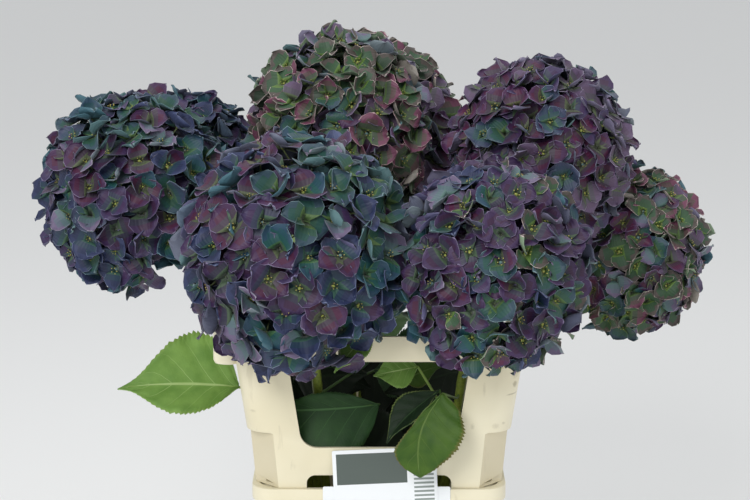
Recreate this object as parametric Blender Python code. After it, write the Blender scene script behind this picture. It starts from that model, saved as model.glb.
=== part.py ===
"""Cut hydrangea blooms standing in a flared plastic flower container.

Metres, +Z up. The origin is the centre of the container's flat underside, and a short side of
the container faces -Y. Each stem, bloom, leaf, container piece and card is one closed solid.
"""

import math
import random

import bmesh
import bpy
from mathutils import Matrix, Vector

# Clearance between neighbouring solids
GAP = 0.0003

# Container: a tub with a flared collar standing on its rim. Half widths are across X, and the
# long side is longer by LONG_EXTRA on each side of the middle.
TUB_HEIGHT = 0.290
COLLAR_HEIGHT = 0.150
RIM_Z = TUB_HEIGHT + COLLAR_HEIGHT
LONG_EXTRA = 0.050
WALL = 0.003
CORNER_RADIUS = 0.022
CORNER_STEPS = 3
TUB_FOOT_CHAMFER = 0.006
TUB_FOOT_HALF = 0.100
TUB_STEP_Z = 0.205
TUB_STEP_HALF = 0.109
TUB_STEP_OUT = 0.0035
TUB_STEP_RISE = 0.006
TUB_TOP_HALF = 0.1150
TUB_LIP_HALF = 0.1185
TUB_LIP_DROP = 0.014
COLLAR_WAIST_HALF = 0.1190
COLLAR_SHOULDER_HALF = 0.1240
COLLAR_TOP_HALF = 0.1355
# The waist steps in along the long sides alone: the front and back run on flush past it
WAIST_LONG_EXTRA = 0.0500
SHOULDER_LONG_EXTRA = 0.0457
# How round the collar's corners are at each height: 1 is a full arc and 0 a straight cut
SKIRT_BULGE = 0.6
FOOT_BULGE = 0.35
WAIST_BULGE = 0.0
SHOULDER_BULGE = 0.9
SKIRT_DEPTH = 0.014
SKIRT_CLEARANCE = 0.0008
SKIRT_TAPER = 0.0006
SHOULDER_Z = TUB_HEIGHT + 0.054
SHOULDER_RISE = 0.004

# The ledge along each long side of the collar, hollow underneath
LEDGE_Z = TUB_HEIGHT + 0.118
LEDGE_OUTER = 0.1520
LEDGE_HALF_LENGTH = 0.168
LEDGE_CORNER = 0.008
LEDGE_EDGE = 0.0045

# Openings in the collar
WINDOW_SILL_Z = TUB_HEIGHT + 0.040
FRONT_WINDOW_HEAD_Z = TUB_HEIGHT + 0.1255
SIDE_WINDOW_HEAD_Z = LEDGE_Z - 0.006
FRONT_WINDOW_HALF = 0.083
SIDE_WINDOW_HALF = 0.118
WINDOW_TAPER = 0.012
WINDOW_CORNER = 0.014
GRIP_HALF = 0.067
GRIP_HEIGHT = 0.013
GRIP_CORNER = 0.008
GRIP_DROP = 0.002
CUT_REACH = 0.250

# Cards tucked in front of the tub's rim
CARD_MIDDLE = 0.007
CARD_WIDTH = 0.096
CARD_HEIGHT = 0.118
CARD_TOP_Z = TUB_HEIGHT + 0.040
CARD_TILT = math.radians(2.5)
BACKING_WIDTH = 0.118
BACKING_HEIGHT = 0.080
BACKING_TOP_Z = TUB_HEIGHT + 0.003
CARD_THICKNESS = 0.0010

# Blooms: name, centre, half its width to the outer petals, and the way that its top leans.
# Each is taller than wide by TALL.
TALL = 1.08
BLOOMS = {
    "left": (Vector((-0.236, -0.030, 0.545)), 0.098, Vector((-0.72, -0.25, 0.66))),
    "centre": (Vector((-0.038, 0.020, 0.598)), 0.096, Vector((-0.05, -0.20, 0.98))),
    "front_left": (Vector((-0.073, -0.196, 0.518)), 0.110, Vector((-0.20, -0.62, 0.76))),
    "right_top": (Vector((0.155, -0.030, 0.581)), 0.094, Vector((0.42, -0.28, 0.86))),
    "front_right": (Vector((0.099, -0.210, 0.509)), 0.094, Vector((0.26, -0.68, 0.69))),
    "right": (Vector((0.248, 0.035, 0.474)), 0.086, Vector((0.95, -0.12, 0.20))),
    "back": (Vector((-0.018, 0.194, 0.554)), 0.110, Vector((0.02, 0.55, 0.83))),
    "back_left": (Vector((-0.205, 0.168, 0.522)), 0.094, Vector((-0.60, 0.48, 0.64))),
    "back_right": (Vector((0.170, 0.196, 0.530)), 0.096, Vector((0.48, 0.56, 0.68))),
}

# Where each stem stands on the tub's floor
FEET = {
    "left": (-0.060, -0.020),
    "centre": (-0.014, 0.012),
    "front_left": (-0.036, -0.085),
    "right_top": (0.050, -0.020),
    "front_right": (0.034, -0.098),
    "right": (0.066, 0.040),
    "back": (-0.014, 0.092),
    "back_left": (-0.056, 0.070),
    "back_right": (0.042, 0.105),
}
# A stem leans on the collar's inside where its bloom hangs past the rim
LEAN_Z = RIM_Z - 0.015
LEAN_HALF_X = 0.106
LEAN_HALF_Y = 0.140
LEAN_TURN = 0.35
STEM_FOOT_RADIUS = 0.0052
STEM_TIP_RADIUS = 0.0036
STEM_RINGS_BELOW = 6
STEM_RINGS_ABOVE = 4

# Leaves: the stem that carries each, the height at which its stalk leaves the stem, half the
# blade's width, then the blade's base, its tip and the way that its upper face looks
LEAVES = {
    "left_front": (
        "left", 0.345, 0.044, (-0.134, -0.085, 0.365), (-0.248, -0.100, 0.369), (-0.10, -0.77, 0.63),
    ),
    "left_inner": (
        "back_left", 0.330, 0.030, (-0.122, 0.062, 0.364), (-0.190, 0.112, 0.346), (-0.60, -0.20, 0.75),
    ),
    "window_left": (
        "front_left", 0.345, 0.035, (0.000, -0.138, 0.363), (-0.107, -0.135, 0.357), (0.00, -0.98, 0.20),
    ),
    "window_top": (
        "front_right", 0.350, 0.018, (0.036, -0.148, 0.402), (-0.005, -0.156, 0.396), (0.00, -0.88, 0.47),
    ),
    "window_fold": (
        "front_right", 0.330, 0.017, (0.056, -0.150, 0.380), (0.006, -0.168, 0.336), (-0.62, -0.66, 0.42),
    ),
    "window_right": (
        "front_right", 0.370, 0.036, (0.058, -0.183, 0.386), (0.037, -0.201, 0.312), (0.05, -0.92, 0.36),
    ),
    "window_dark": (
        "front_left", 0.370, 0.014, (-0.006, -0.082, 0.392), (-0.052, -0.098, 0.388), (0.00, -0.80, 0.60),
    ),
    "window_green": (
        "right_top", 0.345, 0.016, (0.024, -0.090, 0.372), (0.058, -0.108, 0.392), (0.10, -0.80, 0.60),
    ),
    "inner_middle": (
        "centre", 0.345, 0.038, (-0.004, -0.012, 0.362), (0.064, -0.052, 0.374), (0.05, -0.80, 0.60),
    ),
    "rim_front": (
        "front_left", 0.430, 0.014, (-0.006, -0.198, 0.450), (-0.040, -0.218, 0.416), (0.20, -0.75, 0.65),
    ),
    "right_inner": (
        "right", 0.350, 0.022, (0.110, 0.006, 0.376), (0.115, -0.066, 0.352), (0.85, -0.10, 0.50),
    ),
    "right_back": (
        "right", 0.385, 0.022, (0.136, 0.066, 0.379), (0.146, 0.138, 0.356), (0.96, 0.05, 0.25),
    ),
    "rim_right": (
        "back_right", 0.440, 0.030, (0.160, 0.104, 0.452), (0.214, 0.178, 0.396), (0.35, 0.25, 0.90),
    ),
    "rim_left": (
        "back_left", 0.452, 0.028, (-0.166, 0.096, 0.454), (-0.180, 0.184, 0.396), (-0.30, 0.25, 0.92),
    ),
    "back_rim_right": (
        "back_right", 0.440, 0.034, (0.064, 0.208, 0.456), (0.070, 0.310, 0.404), (0.05, 0.45, 0.88),
    ),
    "back_rim_left": (
        "back", 0.440, 0.034, (-0.090, 0.208, 0.456), (-0.112, 0.308, 0.410), (-0.10, 0.45, 0.88),
    ),
    "back_window": (
        "back", 0.360, 0.034, (-0.010, 0.184, 0.374), (0.010, 0.256, 0.312), (0.05, 0.75, 0.65),
    ),
}
LEAF_THICKNESS = 0.0017
LEAF_STALK_HALF = 0.0013
LEAF_STALK_ELBOW = 0.006
LEAF_STATIONS = 7
LEAF_TOOTH = 0.10
LEAF_FOLD = 0.22
LEAF_ARCH = 0.09
# The blade's outline: its widest place is nearer the base, and its tip is this much finer
LEAF_FORWARD = 0.75
LEAF_FULLNESS = 0.85
LEAF_TIP_TAPER = 0.6

# Bloom rule, in shares of the bloom's radius
FLORETS = 35
FLORET_SPREAD = math.radians(126)
CORE_SIDE = 0.76
CORE_TOP = 0.78
CORE_UNDER = 0.42
FLORET_HALF = 0.275
FLORET_NOTCH = 0.56
FLORET_CUP = 0.05
FLORET_EYE_DROP = 1.2 * FLORET_CUP
FLORET_TIP_DROP = 0.4 * FLORET_CUP
FLORET_ROOT = 0.55
RADIUS_JITTER = 0.05
TILT_JITTER = math.radians(14)
GOLDEN_ANGLE = math.pi * (3 - math.sqrt(5))
PRESS_GAP = 0.0008
RIM_MARGIN = 0.002
NEIGHBOUR_REACH = 0.020
# Steps by which a floret is pushed in where another bloom or the rim presses it
PRESSES = (1.0, 0.95, 0.90, 0.85)
UP = Vector((0, 0, 1))


# Materials

COLOURS = {
    "container": ((0.83, 0.76, 0.58), 0.45),
    "card": ((0.88, 0.89, 0.90), 0.60),
    "stem": ((0.20, 0.27, 0.09), 0.60),
    "leaf": ((0.11, 0.24, 0.06), 0.55),
    "bloom": ((0.15, 0.13, 0.22), 0.70),
    "bloom_green": ((0.15, 0.19, 0.15), 0.70),
}


def material(name):
    """The named plain finish, made once."""
    found = bpy.data.materials.get(name)
    if found:
        return found
    colour, roughness = COLOURS[name]
    made = bpy.data.materials.new(name)
    made.use_nodes = True
    shader = made.node_tree.nodes["Principled BSDF"]
    shader.inputs["Base Color"].default_value = (*colour, 1)
    shader.inputs["Roughness"].default_value = roughness
    shader.inputs["Metallic"].default_value = 0.0
    made.diffuse_color = (*colour, 1)
    return made


# Mesh helpers


def clear_scene():
    for obj in list(bpy.data.objects):
        bpy.data.objects.remove(obj, do_unlink=True)


def mesh_object(name, points, faces, finish=None):
    """A mesh object from points and faces, with its normals made to point outwards."""
    mesh = bpy.data.meshes.new(name)
    mesh.from_pydata([tuple(point) for point in points], [], faces)
    work = bmesh.new()
    work.from_mesh(mesh)
    bmesh.ops.recalc_face_normals(work, faces=work.faces)
    work.to_mesh(mesh)
    work.free()
    obj = bpy.data.objects.new(name, mesh)
    bpy.context.scene.collection.objects.link(obj)
    if finish:
        mesh.materials.append(material(finish))
    return obj


def apply_modifiers(obj):
    """Swaps the object's mesh for the one that its modifiers make."""
    graph = bpy.context.evaluated_depsgraph_get()
    made = bpy.data.meshes.new_from_object(obj.evaluated_get(graph))
    obj.modifiers.clear()
    obj.data = made


def loose_parts(work):
    """The connected groups of faces of a bmesh."""
    groups, seen = [], set()
    for start in work.faces:
        if start in seen:
            continue
        group, reach = [], [start]
        seen.add(start)
        while reach:
            face = reach.pop()
            group.append(face)
            for edge in face.edges:
                for other in edge.link_faces:
                    if other not in seen:
                        seen.add(other)
                        reach.append(other)
        groups.append(group)
    return groups


def signed_volume(faces):
    total = 0.0
    for face in faces:
        a, b, c = (loop.vert.co for loop in face.loops)
        total += a.dot(b.cross(c)) / 6
    return total


def keep_one_body(obj):
    """Fills sealed hollows and drops loose scraps: only the largest closed shell is kept."""
    work = bmesh.new()
    work.from_mesh(obj.data)
    bmesh.ops.triangulate(work, faces=work.faces)
    parts = sorted(loose_parts(work), key=signed_volume)
    spare = [face for part in parts[:-1] for face in part]
    bmesh.ops.delete(work, geom=spare, context="FACES")
    bmesh.ops.delete(work, geom=[v for v in work.verts if not v.link_faces], context="VERTS")
    work.to_mesh(obj.data)
    work.free()


def fuse(obj, others):
    """Joins the other objects to this one with one Boolean union, applied, and removes them."""
    group = bpy.data.collections.new("fused")
    bpy.context.scene.collection.children.link(group)
    for other in others:
        group.objects.link(other)
    union = obj.modifiers.new("union", "BOOLEAN")
    union.operation = "UNION"
    union.operand_type = "COLLECTION"
    union.collection = group
    union.solver = "MANIFOLD"
    apply_modifiers(obj)
    for other in others:
        bpy.data.objects.remove(other, do_unlink=True)
    bpy.data.collections.remove(group)
    keep_one_body(obj)


def cut(obj, cutters):
    """Takes the cutters out of the object, applied, and removes them."""
    for cutter in cutters:
        difference = obj.modifiers.new("cut", "BOOLEAN")
        difference.operation = "DIFFERENCE"
        difference.object = cutter
    apply_modifiers(obj)
    for cutter in cutters:
        bpy.data.objects.remove(cutter, do_unlink=True)


# Container


def rounded(middle, half_x, half_y, z, radius, bulge=1.0, steps=CORNER_STEPS):
    """A rounded rectangle at one height. bulge 1 rounds its corners and 0 cuts them straight."""
    points = []
    for turn, (side_x, side_y) in enumerate(((1, 1), (-1, 1), (-1, -1), (1, -1))):
        centre = Vector((middle + side_x * (half_x - radius), side_y * (half_y - radius), z))
        start = turn * math.pi / 2
        first = Vector((math.cos(start), math.sin(start), 0)) * radius
        last = Vector((math.cos(start + math.pi / 2), math.sin(start + math.pi / 2), 0)) * radius
        for step in range(steps + 1):
            share = step / steps
            angle = start + share * math.pi / 2
            round_point = Vector((math.cos(angle), math.sin(angle), 0)) * radius
            points.append(centre + first.lerp(last, share).lerp(round_point, bulge))
    return points


def ring(half, z, bulge=1.0, extra=LONG_EXTRA):
    """The container's own rounded outline at one height."""
    return rounded(0.0, half, half + extra, z, CORNER_RADIUS, bulge)


def bridged(rings, closed):
    """Points and faces of a wall through the rings: closed joins the last ring to the first."""
    count = len(rings[0])
    points = [point for one in rings for point in one]
    faces = []
    spans = len(rings) if closed else len(rings) - 1
    for level in range(spans):
        low, high = level * count, (level + 1) % len(rings) * count
        for i in range(count):
            j = (i + 1) % count
            faces.append((low + i, low + j, high + j, high + i))
    if not closed:
        faces.append(tuple(range(count)))
        faces.append(tuple(range((len(rings) - 1) * count, len(rings) * count)))
    return points, faces


def tub():
    """The water tub: tapered walls with a small step, a flat underside and a thickened lip."""
    step_top = TUB_STEP_Z + TUB_STEP_RISE
    lip_z = TUB_HEIGHT - TUB_LIP_DROP
    rings = [
        ring(TUB_FOOT_HALF - TUB_FOOT_CHAMFER, 0.0),
        ring(TUB_FOOT_HALF, TUB_FOOT_CHAMFER),
        ring(TUB_STEP_HALF, TUB_STEP_Z),
        ring(TUB_STEP_HALF + TUB_STEP_OUT, step_top),
        ring(TUB_TOP_HALF, lip_z),
        ring(TUB_LIP_HALF, lip_z),
        ring(TUB_LIP_HALF, TUB_HEIGHT),
        ring(TUB_TOP_HALF - WALL, TUB_HEIGHT),
        ring(TUB_TOP_HALF - WALL, lip_z - WALL),
        ring(TUB_STEP_HALF + TUB_STEP_OUT - WALL, step_top),
        ring(TUB_STEP_HALF - WALL, TUB_STEP_Z),
        ring(TUB_FOOT_HALF - WALL, TUB_FOOT_CHAMFER + WALL),
        ring(TUB_FOOT_HALF - TUB_FOOT_CHAMFER - WALL, WALL),
    ]
    return mesh_object("tub", *bridged(rings, closed=False), "container")


def plate(name, outline, axis, reach):
    """A cutter: a flat outline of (across, up) pairs pushed along X or Y to both sides."""
    points = []
    for end in (-reach, reach):
        for across, up in outline:
            points.append(Vector((end, across, up)) if axis == "X" else Vector((across, end, up)))
    count = len(outline)
    faces = [tuple(range(count)), tuple(range(count, 2 * count))]
    faces += [(i, (i + 1) % count, count + (i + 1) % count, count + i) for i in range(count)]
    return mesh_object(name, points, faces)


def window_outline(half, head):
    """A window wider at its head, with rounded lower corners."""
    low_half = half - WINDOW_TAPER
    low = WINDOW_SILL_Z
    corner = []
    for step in range(CORNER_STEPS + 1):
        angle = step / CORNER_STEPS * math.pi / 2
        across = low_half - WINDOW_CORNER + WINDOW_CORNER * math.sin(angle)
        corner.append((across, low + WINDOW_CORNER - WINDOW_CORNER * math.cos(angle)))
    right = corner + [(half, head)]
    return right + [(-across, up) for across, up in reversed(right)]


def grip_outline():
    """The finger slot between the collar's foot and the tub's rim, with rounded upper corners."""
    high = TUB_HEIGHT + GRIP_HEIGHT - GRIP_CORNER
    right = [(GRIP_HALF, TUB_HEIGHT - GRIP_DROP)]
    for step in range(CORNER_STEPS + 1):
        angle = step / CORNER_STEPS * math.pi / 2
        across = GRIP_HALF - GRIP_CORNER + GRIP_CORNER * math.cos(angle)
        right.append((across, high + GRIP_CORNER * math.sin(angle)))
    return right + [(-across, up) for across, up in reversed(right)]


def wall_half(z):
    """Half the collar's width outside, at a height above its shoulder."""
    low = SHOULDER_Z + SHOULDER_RISE
    share = (z - low) / (RIM_Z - low)
    return COLLAR_SHOULDER_HALF + (COLLAR_TOP_HALF - COLLAR_SHOULDER_HALF) * share


def ledge(side):
    """An upturned tray whose inner wall is sunk in the collar's wall, with rounded outer edges."""
    low_outer = LEDGE_OUTER - LEDGE_EDGE
    low_half = LEDGE_HALF_LENGTH - LEDGE_EDGE

    def outline(outer, half_y, z, inset):
        inner = wall_half(z) - WALL / 2 + inset
        outer -= inset
        middle = side * (inner + outer) / 2
        half_x, radius = (outer - inner) / 2, LEDGE_CORNER - inset
        return rounded(middle, half_x, half_y - inset, z, radius, steps=2)

    rings = [
        outline(LEDGE_OUTER, LEDGE_HALF_LENGTH, RIM_Z - WALL, WALL),
        outline(LEDGE_OUTER, LEDGE_HALF_LENGTH, LEDGE_Z + LEDGE_EDGE, WALL),
        outline(low_outer, low_half, LEDGE_Z, WALL),
        outline(low_outer, low_half, LEDGE_Z, 0.0),
        outline(LEDGE_OUTER, LEDGE_HALF_LENGTH, LEDGE_Z + LEDGE_EDGE, 0.0),
        outline(LEDGE_OUTER, LEDGE_HALF_LENGTH, RIM_Z - LEDGE_EDGE, 0.0),
        outline(low_outer, low_half, RIM_Z - GAP, 0.0),
    ]
    return mesh_object("ledge", *bridged(rings, closed=False))


def collar():
    """The flared collar: a skirt inside the tub's rim, a waist, a shoulder, walls and two ledges."""
    foot = TUB_HEIGHT + GAP
    skirt = TUB_TOP_HALF - WALL - SKIRT_CLEARANCE
    waist_z, shoulder_z = SHOULDER_Z - SHOULDER_RISE, SHOULDER_Z + SHOULDER_RISE
    rings = [
        ring(skirt - SKIRT_TAPER, TUB_HEIGHT - SKIRT_DEPTH),
        ring(skirt, foot, SKIRT_BULGE),
        ring(TUB_TOP_HALF, foot, FOOT_BULGE),
        ring(COLLAR_WAIST_HALF, waist_z, WAIST_BULGE, WAIST_LONG_EXTRA),
        ring(COLLAR_SHOULDER_HALF, shoulder_z, SHOULDER_BULGE, SHOULDER_LONG_EXTRA),
        ring(COLLAR_TOP_HALF, RIM_Z),
        ring(COLLAR_TOP_HALF - WALL, RIM_Z),
        ring(COLLAR_SHOULDER_HALF - WALL, shoulder_z, SHOULDER_BULGE, SHOULDER_LONG_EXTRA),
        ring(COLLAR_WAIST_HALF - WALL, waist_z, WAIST_BULGE, WAIST_LONG_EXTRA),
        ring(skirt - WALL, foot, SKIRT_BULGE),
        ring(skirt - SKIRT_TAPER - WALL, TUB_HEIGHT - SKIRT_DEPTH),
    ]
    made = mesh_object("collar", *bridged(rings, closed=True), "container")
    fuse(made, [ledge(-1), ledge(1)])
    front = window_outline(FRONT_WINDOW_HALF, FRONT_WINDOW_HEAD_Z)
    side = window_outline(SIDE_WINDOW_HALF, SIDE_WINDOW_HEAD_Z)
    cut(
        made,
        [
            plate("cut_front", front, "Y", CUT_REACH),
            plate("cut_side", side, "X", CUT_REACH),
            plate("cut_grip", grip_outline(), "Y", CUT_REACH),
        ],
    )
    return made


def card(name, width, height, top, front, tilt):
    """A stiff paper card hanging upright just in front of the tub's lip."""
    bpy.ops.mesh.primitive_cube_add(size=1)
    made = bpy.context.active_object
    made.name = name
    size = Matrix.Diagonal((width, CARD_THICKNESS, height, 1))
    turn = Matrix.Rotation(-tilt, 4, "Y")
    place = Matrix.Translation((CARD_MIDDLE, front + CARD_THICKNESS / 2, top - height / 2))
    made.data.transform(place @ turn @ size)
    made.data.materials.append(material("card"))
    return made


# Stems


def stretched(offset):
    """An offset from a bloom's centre, made taller as the blooms are."""
    return Vector((offset.x, offset.y, offset.z * TALL))


def head_base(name):
    """Where the stem meets the underside of its bloom, and the bloom's own axis."""
    centre, radius, lean = BLOOMS[name]
    axis = lean.normalized()
    return centre + stretched(-axis * radius * CORE_UNDER), axis


def smooth_run(start, start_way, end, end_way, steps):
    """Points of a cubic curve from start to end that leaves and arrives along the given ways."""
    third = (end - start).length / 3
    a, b, c, d = start, start + start_way * third, end - end_way * third, end
    points = []
    for step in range(steps + 1):
        share = step / steps
        rest = 1 - share
        points.append(
            a * rest**3 + b * 3 * rest**2 * share + c * 3 * rest * share**2 + d * share**3
        )
    return points


def clamp(value, half):
    return max(-half, min(half, value))


def stem_line(name):
    """The stem's centre line: up from its cut foot, past the collar's rim and into its bloom."""
    foot = Vector((*FEET[name], WALL + GAP))
    base, axis = head_base(name)
    tip = base - axis * GAP
    straight = foot.lerp(tip, (LEAN_Z - foot.z) / (tip.z - foot.z))
    lean = Vector((clamp(straight.x, LEAN_HALF_X), clamp(straight.y, LEAN_HALF_Y), LEAN_Z))
    below, above = (lean - foot).normalized(), (tip - lean).normalized()
    way = below.lerp(above, LEAN_TURN).normalized()
    rise = (below + UP).normalized()
    # The cut is square to the leaning stem, so its lowest edge just clears the floor
    foot.z += STEM_FOOT_RADIUS * math.hypot(rise.x, rise.y)
    lower = smooth_run(foot, rise, lean, way, STEM_RINGS_BELOW)
    upper = smooth_run(lean, way, tip, axis, STEM_RINGS_ABOVE)
    return lower + upper[1:]


def stem_radius(share):
    """The stem's radius at this share of the way from its foot to its tip."""
    return STEM_FOOT_RADIUS + (STEM_TIP_RADIUS - STEM_FOOT_RADIUS) * share


def stem(name):
    """One cut stem as a tapering tube with flat ends."""
    line = stem_line(name)
    curve = bpy.data.curves.new("stem_" + name, "CURVE")
    curve.dimensions = "3D"
    curve.bevel_depth = 1.0
    curve.bevel_resolution = 1
    curve.use_fill_caps = True
    spline = curve.splines.new("POLY")
    spline.points.add(len(line) - 1)
    for i, point in enumerate(line):
        spline.points[i].co = (*point, 1)
        spline.points[i].radius = stem_radius(i / (len(line) - 1))
    made = bpy.data.objects.new("stem_" + name, curve)
    bpy.context.scene.collection.objects.link(made)
    curve.materials.append(material("stem"))
    return made


# Leaves


def stem_at_height(name, height):
    """Where a stem's centre line passes this height, its way there, and its radius."""
    line = stem_line(name)
    for i, (low, high) in enumerate(zip(line, line[1:])):
        if low.z <= height <= high.z:
            share = (height - low.z) / (high.z - low.z)
            radius = stem_radius((i + share) / (len(line) - 1))
            return low.lerp(high, share), (high - low).normalized(), radius
    raise ValueError("stem " + name + " does not reach this height")


def leaf_spine(name):
    """Stations down a leaf: (point, half width), from its stalk at the stem to the blade's tip."""
    stem_name, height, half, base, tip, face = LEAVES[name]
    base, tip, face = Vector(base), Vector(tip), Vector(face).normalized()
    joint, way, radius = stem_at_height(stem_name, height)
    aside = base - joint
    aside -= way * aside.dot(way)
    aside.normalize()
    start = joint + aside * (radius + GAP)
    elbow = start + aside * LEAF_STALK_ELBOW
    arch = (tip - base).length * LEAF_ARCH
    stations = [(point, LEAF_STALK_HALF) for point in (start, elbow, elbow.lerp(base, 0.5))]
    for step in range(LEAF_STATIONS + 1):
        along = step / LEAF_STATIONS
        round_share = math.sin(math.pi * along**LEAF_FORWARD)
        swell = round_share**LEAF_FULLNESS if step < LEAF_STATIONS else 0.0
        tooth = 1 + LEAF_TOOTH * (1 if step % 2 else -1)
        width = max(LEAF_STALK_HALF * (1 - LEAF_TIP_TAPER * along), half * swell * tooth)
        bow = face * arch * math.sin(math.pi * along)
        stations.append((base.lerp(tip, along) + bow, width))
    return stations, face


def leaf_frames(middles, face):
    """The ways across and up at each station, carried from the tip back to the stalk untwisted."""
    last = len(middles) - 1
    ways = [(middles[min(i + 1, last)] - middles[max(i - 1, 0)]).normalized() for i in range(last + 1)]
    across = face.cross(ways[last]).normalized()
    frames = []
    for i in range(last, -1, -1):
        if i < last:
            across = ways[i + 1].rotation_difference(ways[i]) @ across
        frames.append((across, ways[i].cross(across)))
    return frames[::-1]


def leaf(name):
    """A stalk and a toothed blade folded along its midrib, as one closed solid."""
    stations, face = leaf_spine(name)
    frames = leaf_frames([middle for middle, _ in stations], face)
    points, faces = [], []
    for i, (middle, width) in enumerate(stations):
        across, up = frames[i]
        lift = up * width * LEAF_FOLD
        half_thick = up * (LEAF_THICKNESS / 2 if i > 2 else LEAF_STALK_HALF)
        row = [middle - across * width + lift, middle, middle + across * width + lift]
        points += [point + half_thick for point in row] + [point - half_thick for point in row]
    for i in range(len(stations) - 1):
        low, high = 6 * i, 6 * (i + 1)
        for a, b in ((0, 1), (1, 2), (2, 5), (5, 4), (4, 3), (3, 0)):
            faces.append((low + a, low + b, high + b, high + a))
    last = 6 * (len(stations) - 1)
    for end in (0, last):
        faces.append((end, end + 1, end + 4, end + 3))
        faces.append((end + 1, end + 2, end + 5, end + 4))
    return mesh_object("leaf_" + name, points, faces, "leaf")


# Blooms


def neighbours_of(name):
    """The pressed faces between this bloom and those that it leans on: a point and a normal each."""
    centre, radius, _ = BLOOMS[name]
    found = []
    for other, (their_centre, their_radius, _) in BLOOMS.items():
        between = their_centre - centre
        if other == name or between.length > radius + their_radius + NEIGHBOUR_REACH:
            continue
        reach = (between.length**2 + radius**2 - their_radius**2) / (2 * between.length)
        normal = between.normalized()
        found.append((centre + normal * (reach - PRESS_GAP), normal))
    return found


def inside_container(point, margin):
    """Whether the point is within the collar's own space, or this near to it."""
    return (
        abs(point.x) < LEDGE_OUTER + margin
        and abs(point.y) < COLLAR_TOP_HALF + LONG_EXTRA + margin
        and point.z < RIM_Z + margin
    )


def floret_places(name, count):
    """Places of the florets over a bloom: (direction, radius, turn, tilt axis, tilt), seeded by name."""
    _, radius, lean = BLOOMS[name]
    dice = random.Random("florets of " + name)
    axis = lean.normalized()
    to_axis = UP.rotation_difference(axis)
    phase = dice.uniform(0, math.tau)
    places = []
    for i in range(count):
        height = 1 - (i + 0.5) / count * (1 - math.cos(FLORET_SPREAD))
        around = phase + i * GOLDEN_ANGLE
        level = math.sqrt(1 - height * height)
        local = Vector((level * math.cos(around), level * math.sin(around), height))
        reach = radius * (1 - RADIUS_JITTER * dice.random())
        tilt_axis = Vector((dice.uniform(-1, 1), dice.uniform(-1, 1), dice.uniform(-1, 1)))
        tilt = dice.uniform(-1, 1) * TILT_JITTER
        turn = dice.uniform(0, math.tau)
        places.append((to_axis @ local, reach, turn, tilt_axis.normalized(), tilt))
    return places


def floret_points(centre, radius, place):
    """A four-lobed flower on a stalk that runs down into the core."""
    direction, reach, turn, tilt_axis, tilt = place
    facing = Matrix.Rotation(tilt, 3, tilt_axis) @ direction
    to_face = UP.rotation_difference(facing)
    middle = centre + stretched(direction * reach)
    half = FLORET_HALF * radius
    rim = []
    for i in range(8):
        angle = turn + i * math.tau / 8
        out = half if i % 2 == 0 else half * FLORET_NOTCH
        drop = radius * (FLORET_TIP_DROP if i % 2 == 0 else FLORET_CUP)
        rim.append(middle + to_face @ Vector((out * math.cos(angle), out * math.sin(angle), -drop)))
    eye = middle - facing * radius * FLORET_EYE_DROP
    root = centre + stretched(direction * radius * FLORET_ROOT)
    return [eye, root, *rim]


def fits(points, faces_between):
    """Whether a floret keeps to its own bloom's space and clear of the container."""
    if any(inside_container(point, RIM_MARGIN) for point in points[2:]):
        return False
    return all((point - face).dot(normal) < 0 for point in points for face, normal in faces_between)


def pressed_floret(centre, radius, place, faces_between):
    """The floret's points, pushed in towards the core as far as its neighbours press it."""
    direction, reach, turn, tilt_axis, tilt = place
    for press in PRESSES:
        pressed = (direction, reach * press, turn, tilt_axis, tilt)
        points = floret_points(centre, radius, pressed)
        if fits(points, faces_between):
            return points
    return None


FLORET_FACES = [(0, 2 + i, 2 + (i + 1) % 8) for i in range(8)]
FLORET_FACES += [(1, 2 + (i + 1) % 8, 2 + i) for i in range(8)]


def bloom_core(name):
    """The packed inner flowers: a ball with a flattened underside, where the stem comes in."""
    centre, radius, lean = BLOOMS[name]
    bpy.ops.mesh.primitive_ico_sphere_add(subdivisions=2, radius=1)
    made = bpy.context.active_object
    made.name = "bloom_" + name
    turn = UP.rotation_difference(lean.normalized())
    for vert in made.data.vertices:
        x, y, z = vert.co
        along = z * (CORE_TOP if z > 0 else CORE_UNDER)
        local = Vector((x * CORE_SIDE, y * CORE_SIDE, along)) * radius
        vert.co = centre + stretched(turn @ local)
    finish = "bloom_green" if name in ("centre", "back") else "bloom"
    made.data.materials.append(material(finish))
    return made


def bloom(name):
    """One mophead: its core with florets standing out of it, fused, kept to its own space."""
    centre, radius, _ = BLOOMS[name]
    faces_between = neighbours_of(name)
    made = bloom_core(name)
    florets = []
    for i, place in enumerate(floret_places(name, FLORETS)):
        points = pressed_floret(centre, radius, place, faces_between)
        if points:
            florets.append(mesh_object(f"floret_{i}", points, FLORET_FACES))
    fuse(made, florets)
    return made


def main():
    clear_scene()
    tub()
    collar()
    lip_front = -(TUB_LIP_HALF + LONG_EXTRA) - GAP
    backing_front = lip_front - CARD_THICKNESS
    card("card_backing", BACKING_WIDTH, BACKING_HEIGHT, BACKING_TOP_Z, backing_front, 0.0)
    card_front = backing_front - GAP - CARD_THICKNESS
    card("card_front", CARD_WIDTH, CARD_HEIGHT, CARD_TOP_Z, card_front, CARD_TILT)
    for name in BLOOMS:
        stem(name)
        bloom(name)
    for name in LEAVES:
        leaf(name)


main()
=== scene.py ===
# %% [markdown]
# # Cut hydrangea blooms in a plastic flower container
#
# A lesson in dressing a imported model. The frame holds plain closed solids of the right size and
# place: a tub, a flared collar, two cards, nine stems, nine blooms and some leaves. Each is
# replaced here by a fine piece that keeps to the same space. Everything is in metres, +Z is up,
# and the origin is the centre of the tub's underside.

# %% Load the frame
import math
import random

import bmesh
import bpy
import numpy as np
from mathutils import Matrix, Vector


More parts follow.
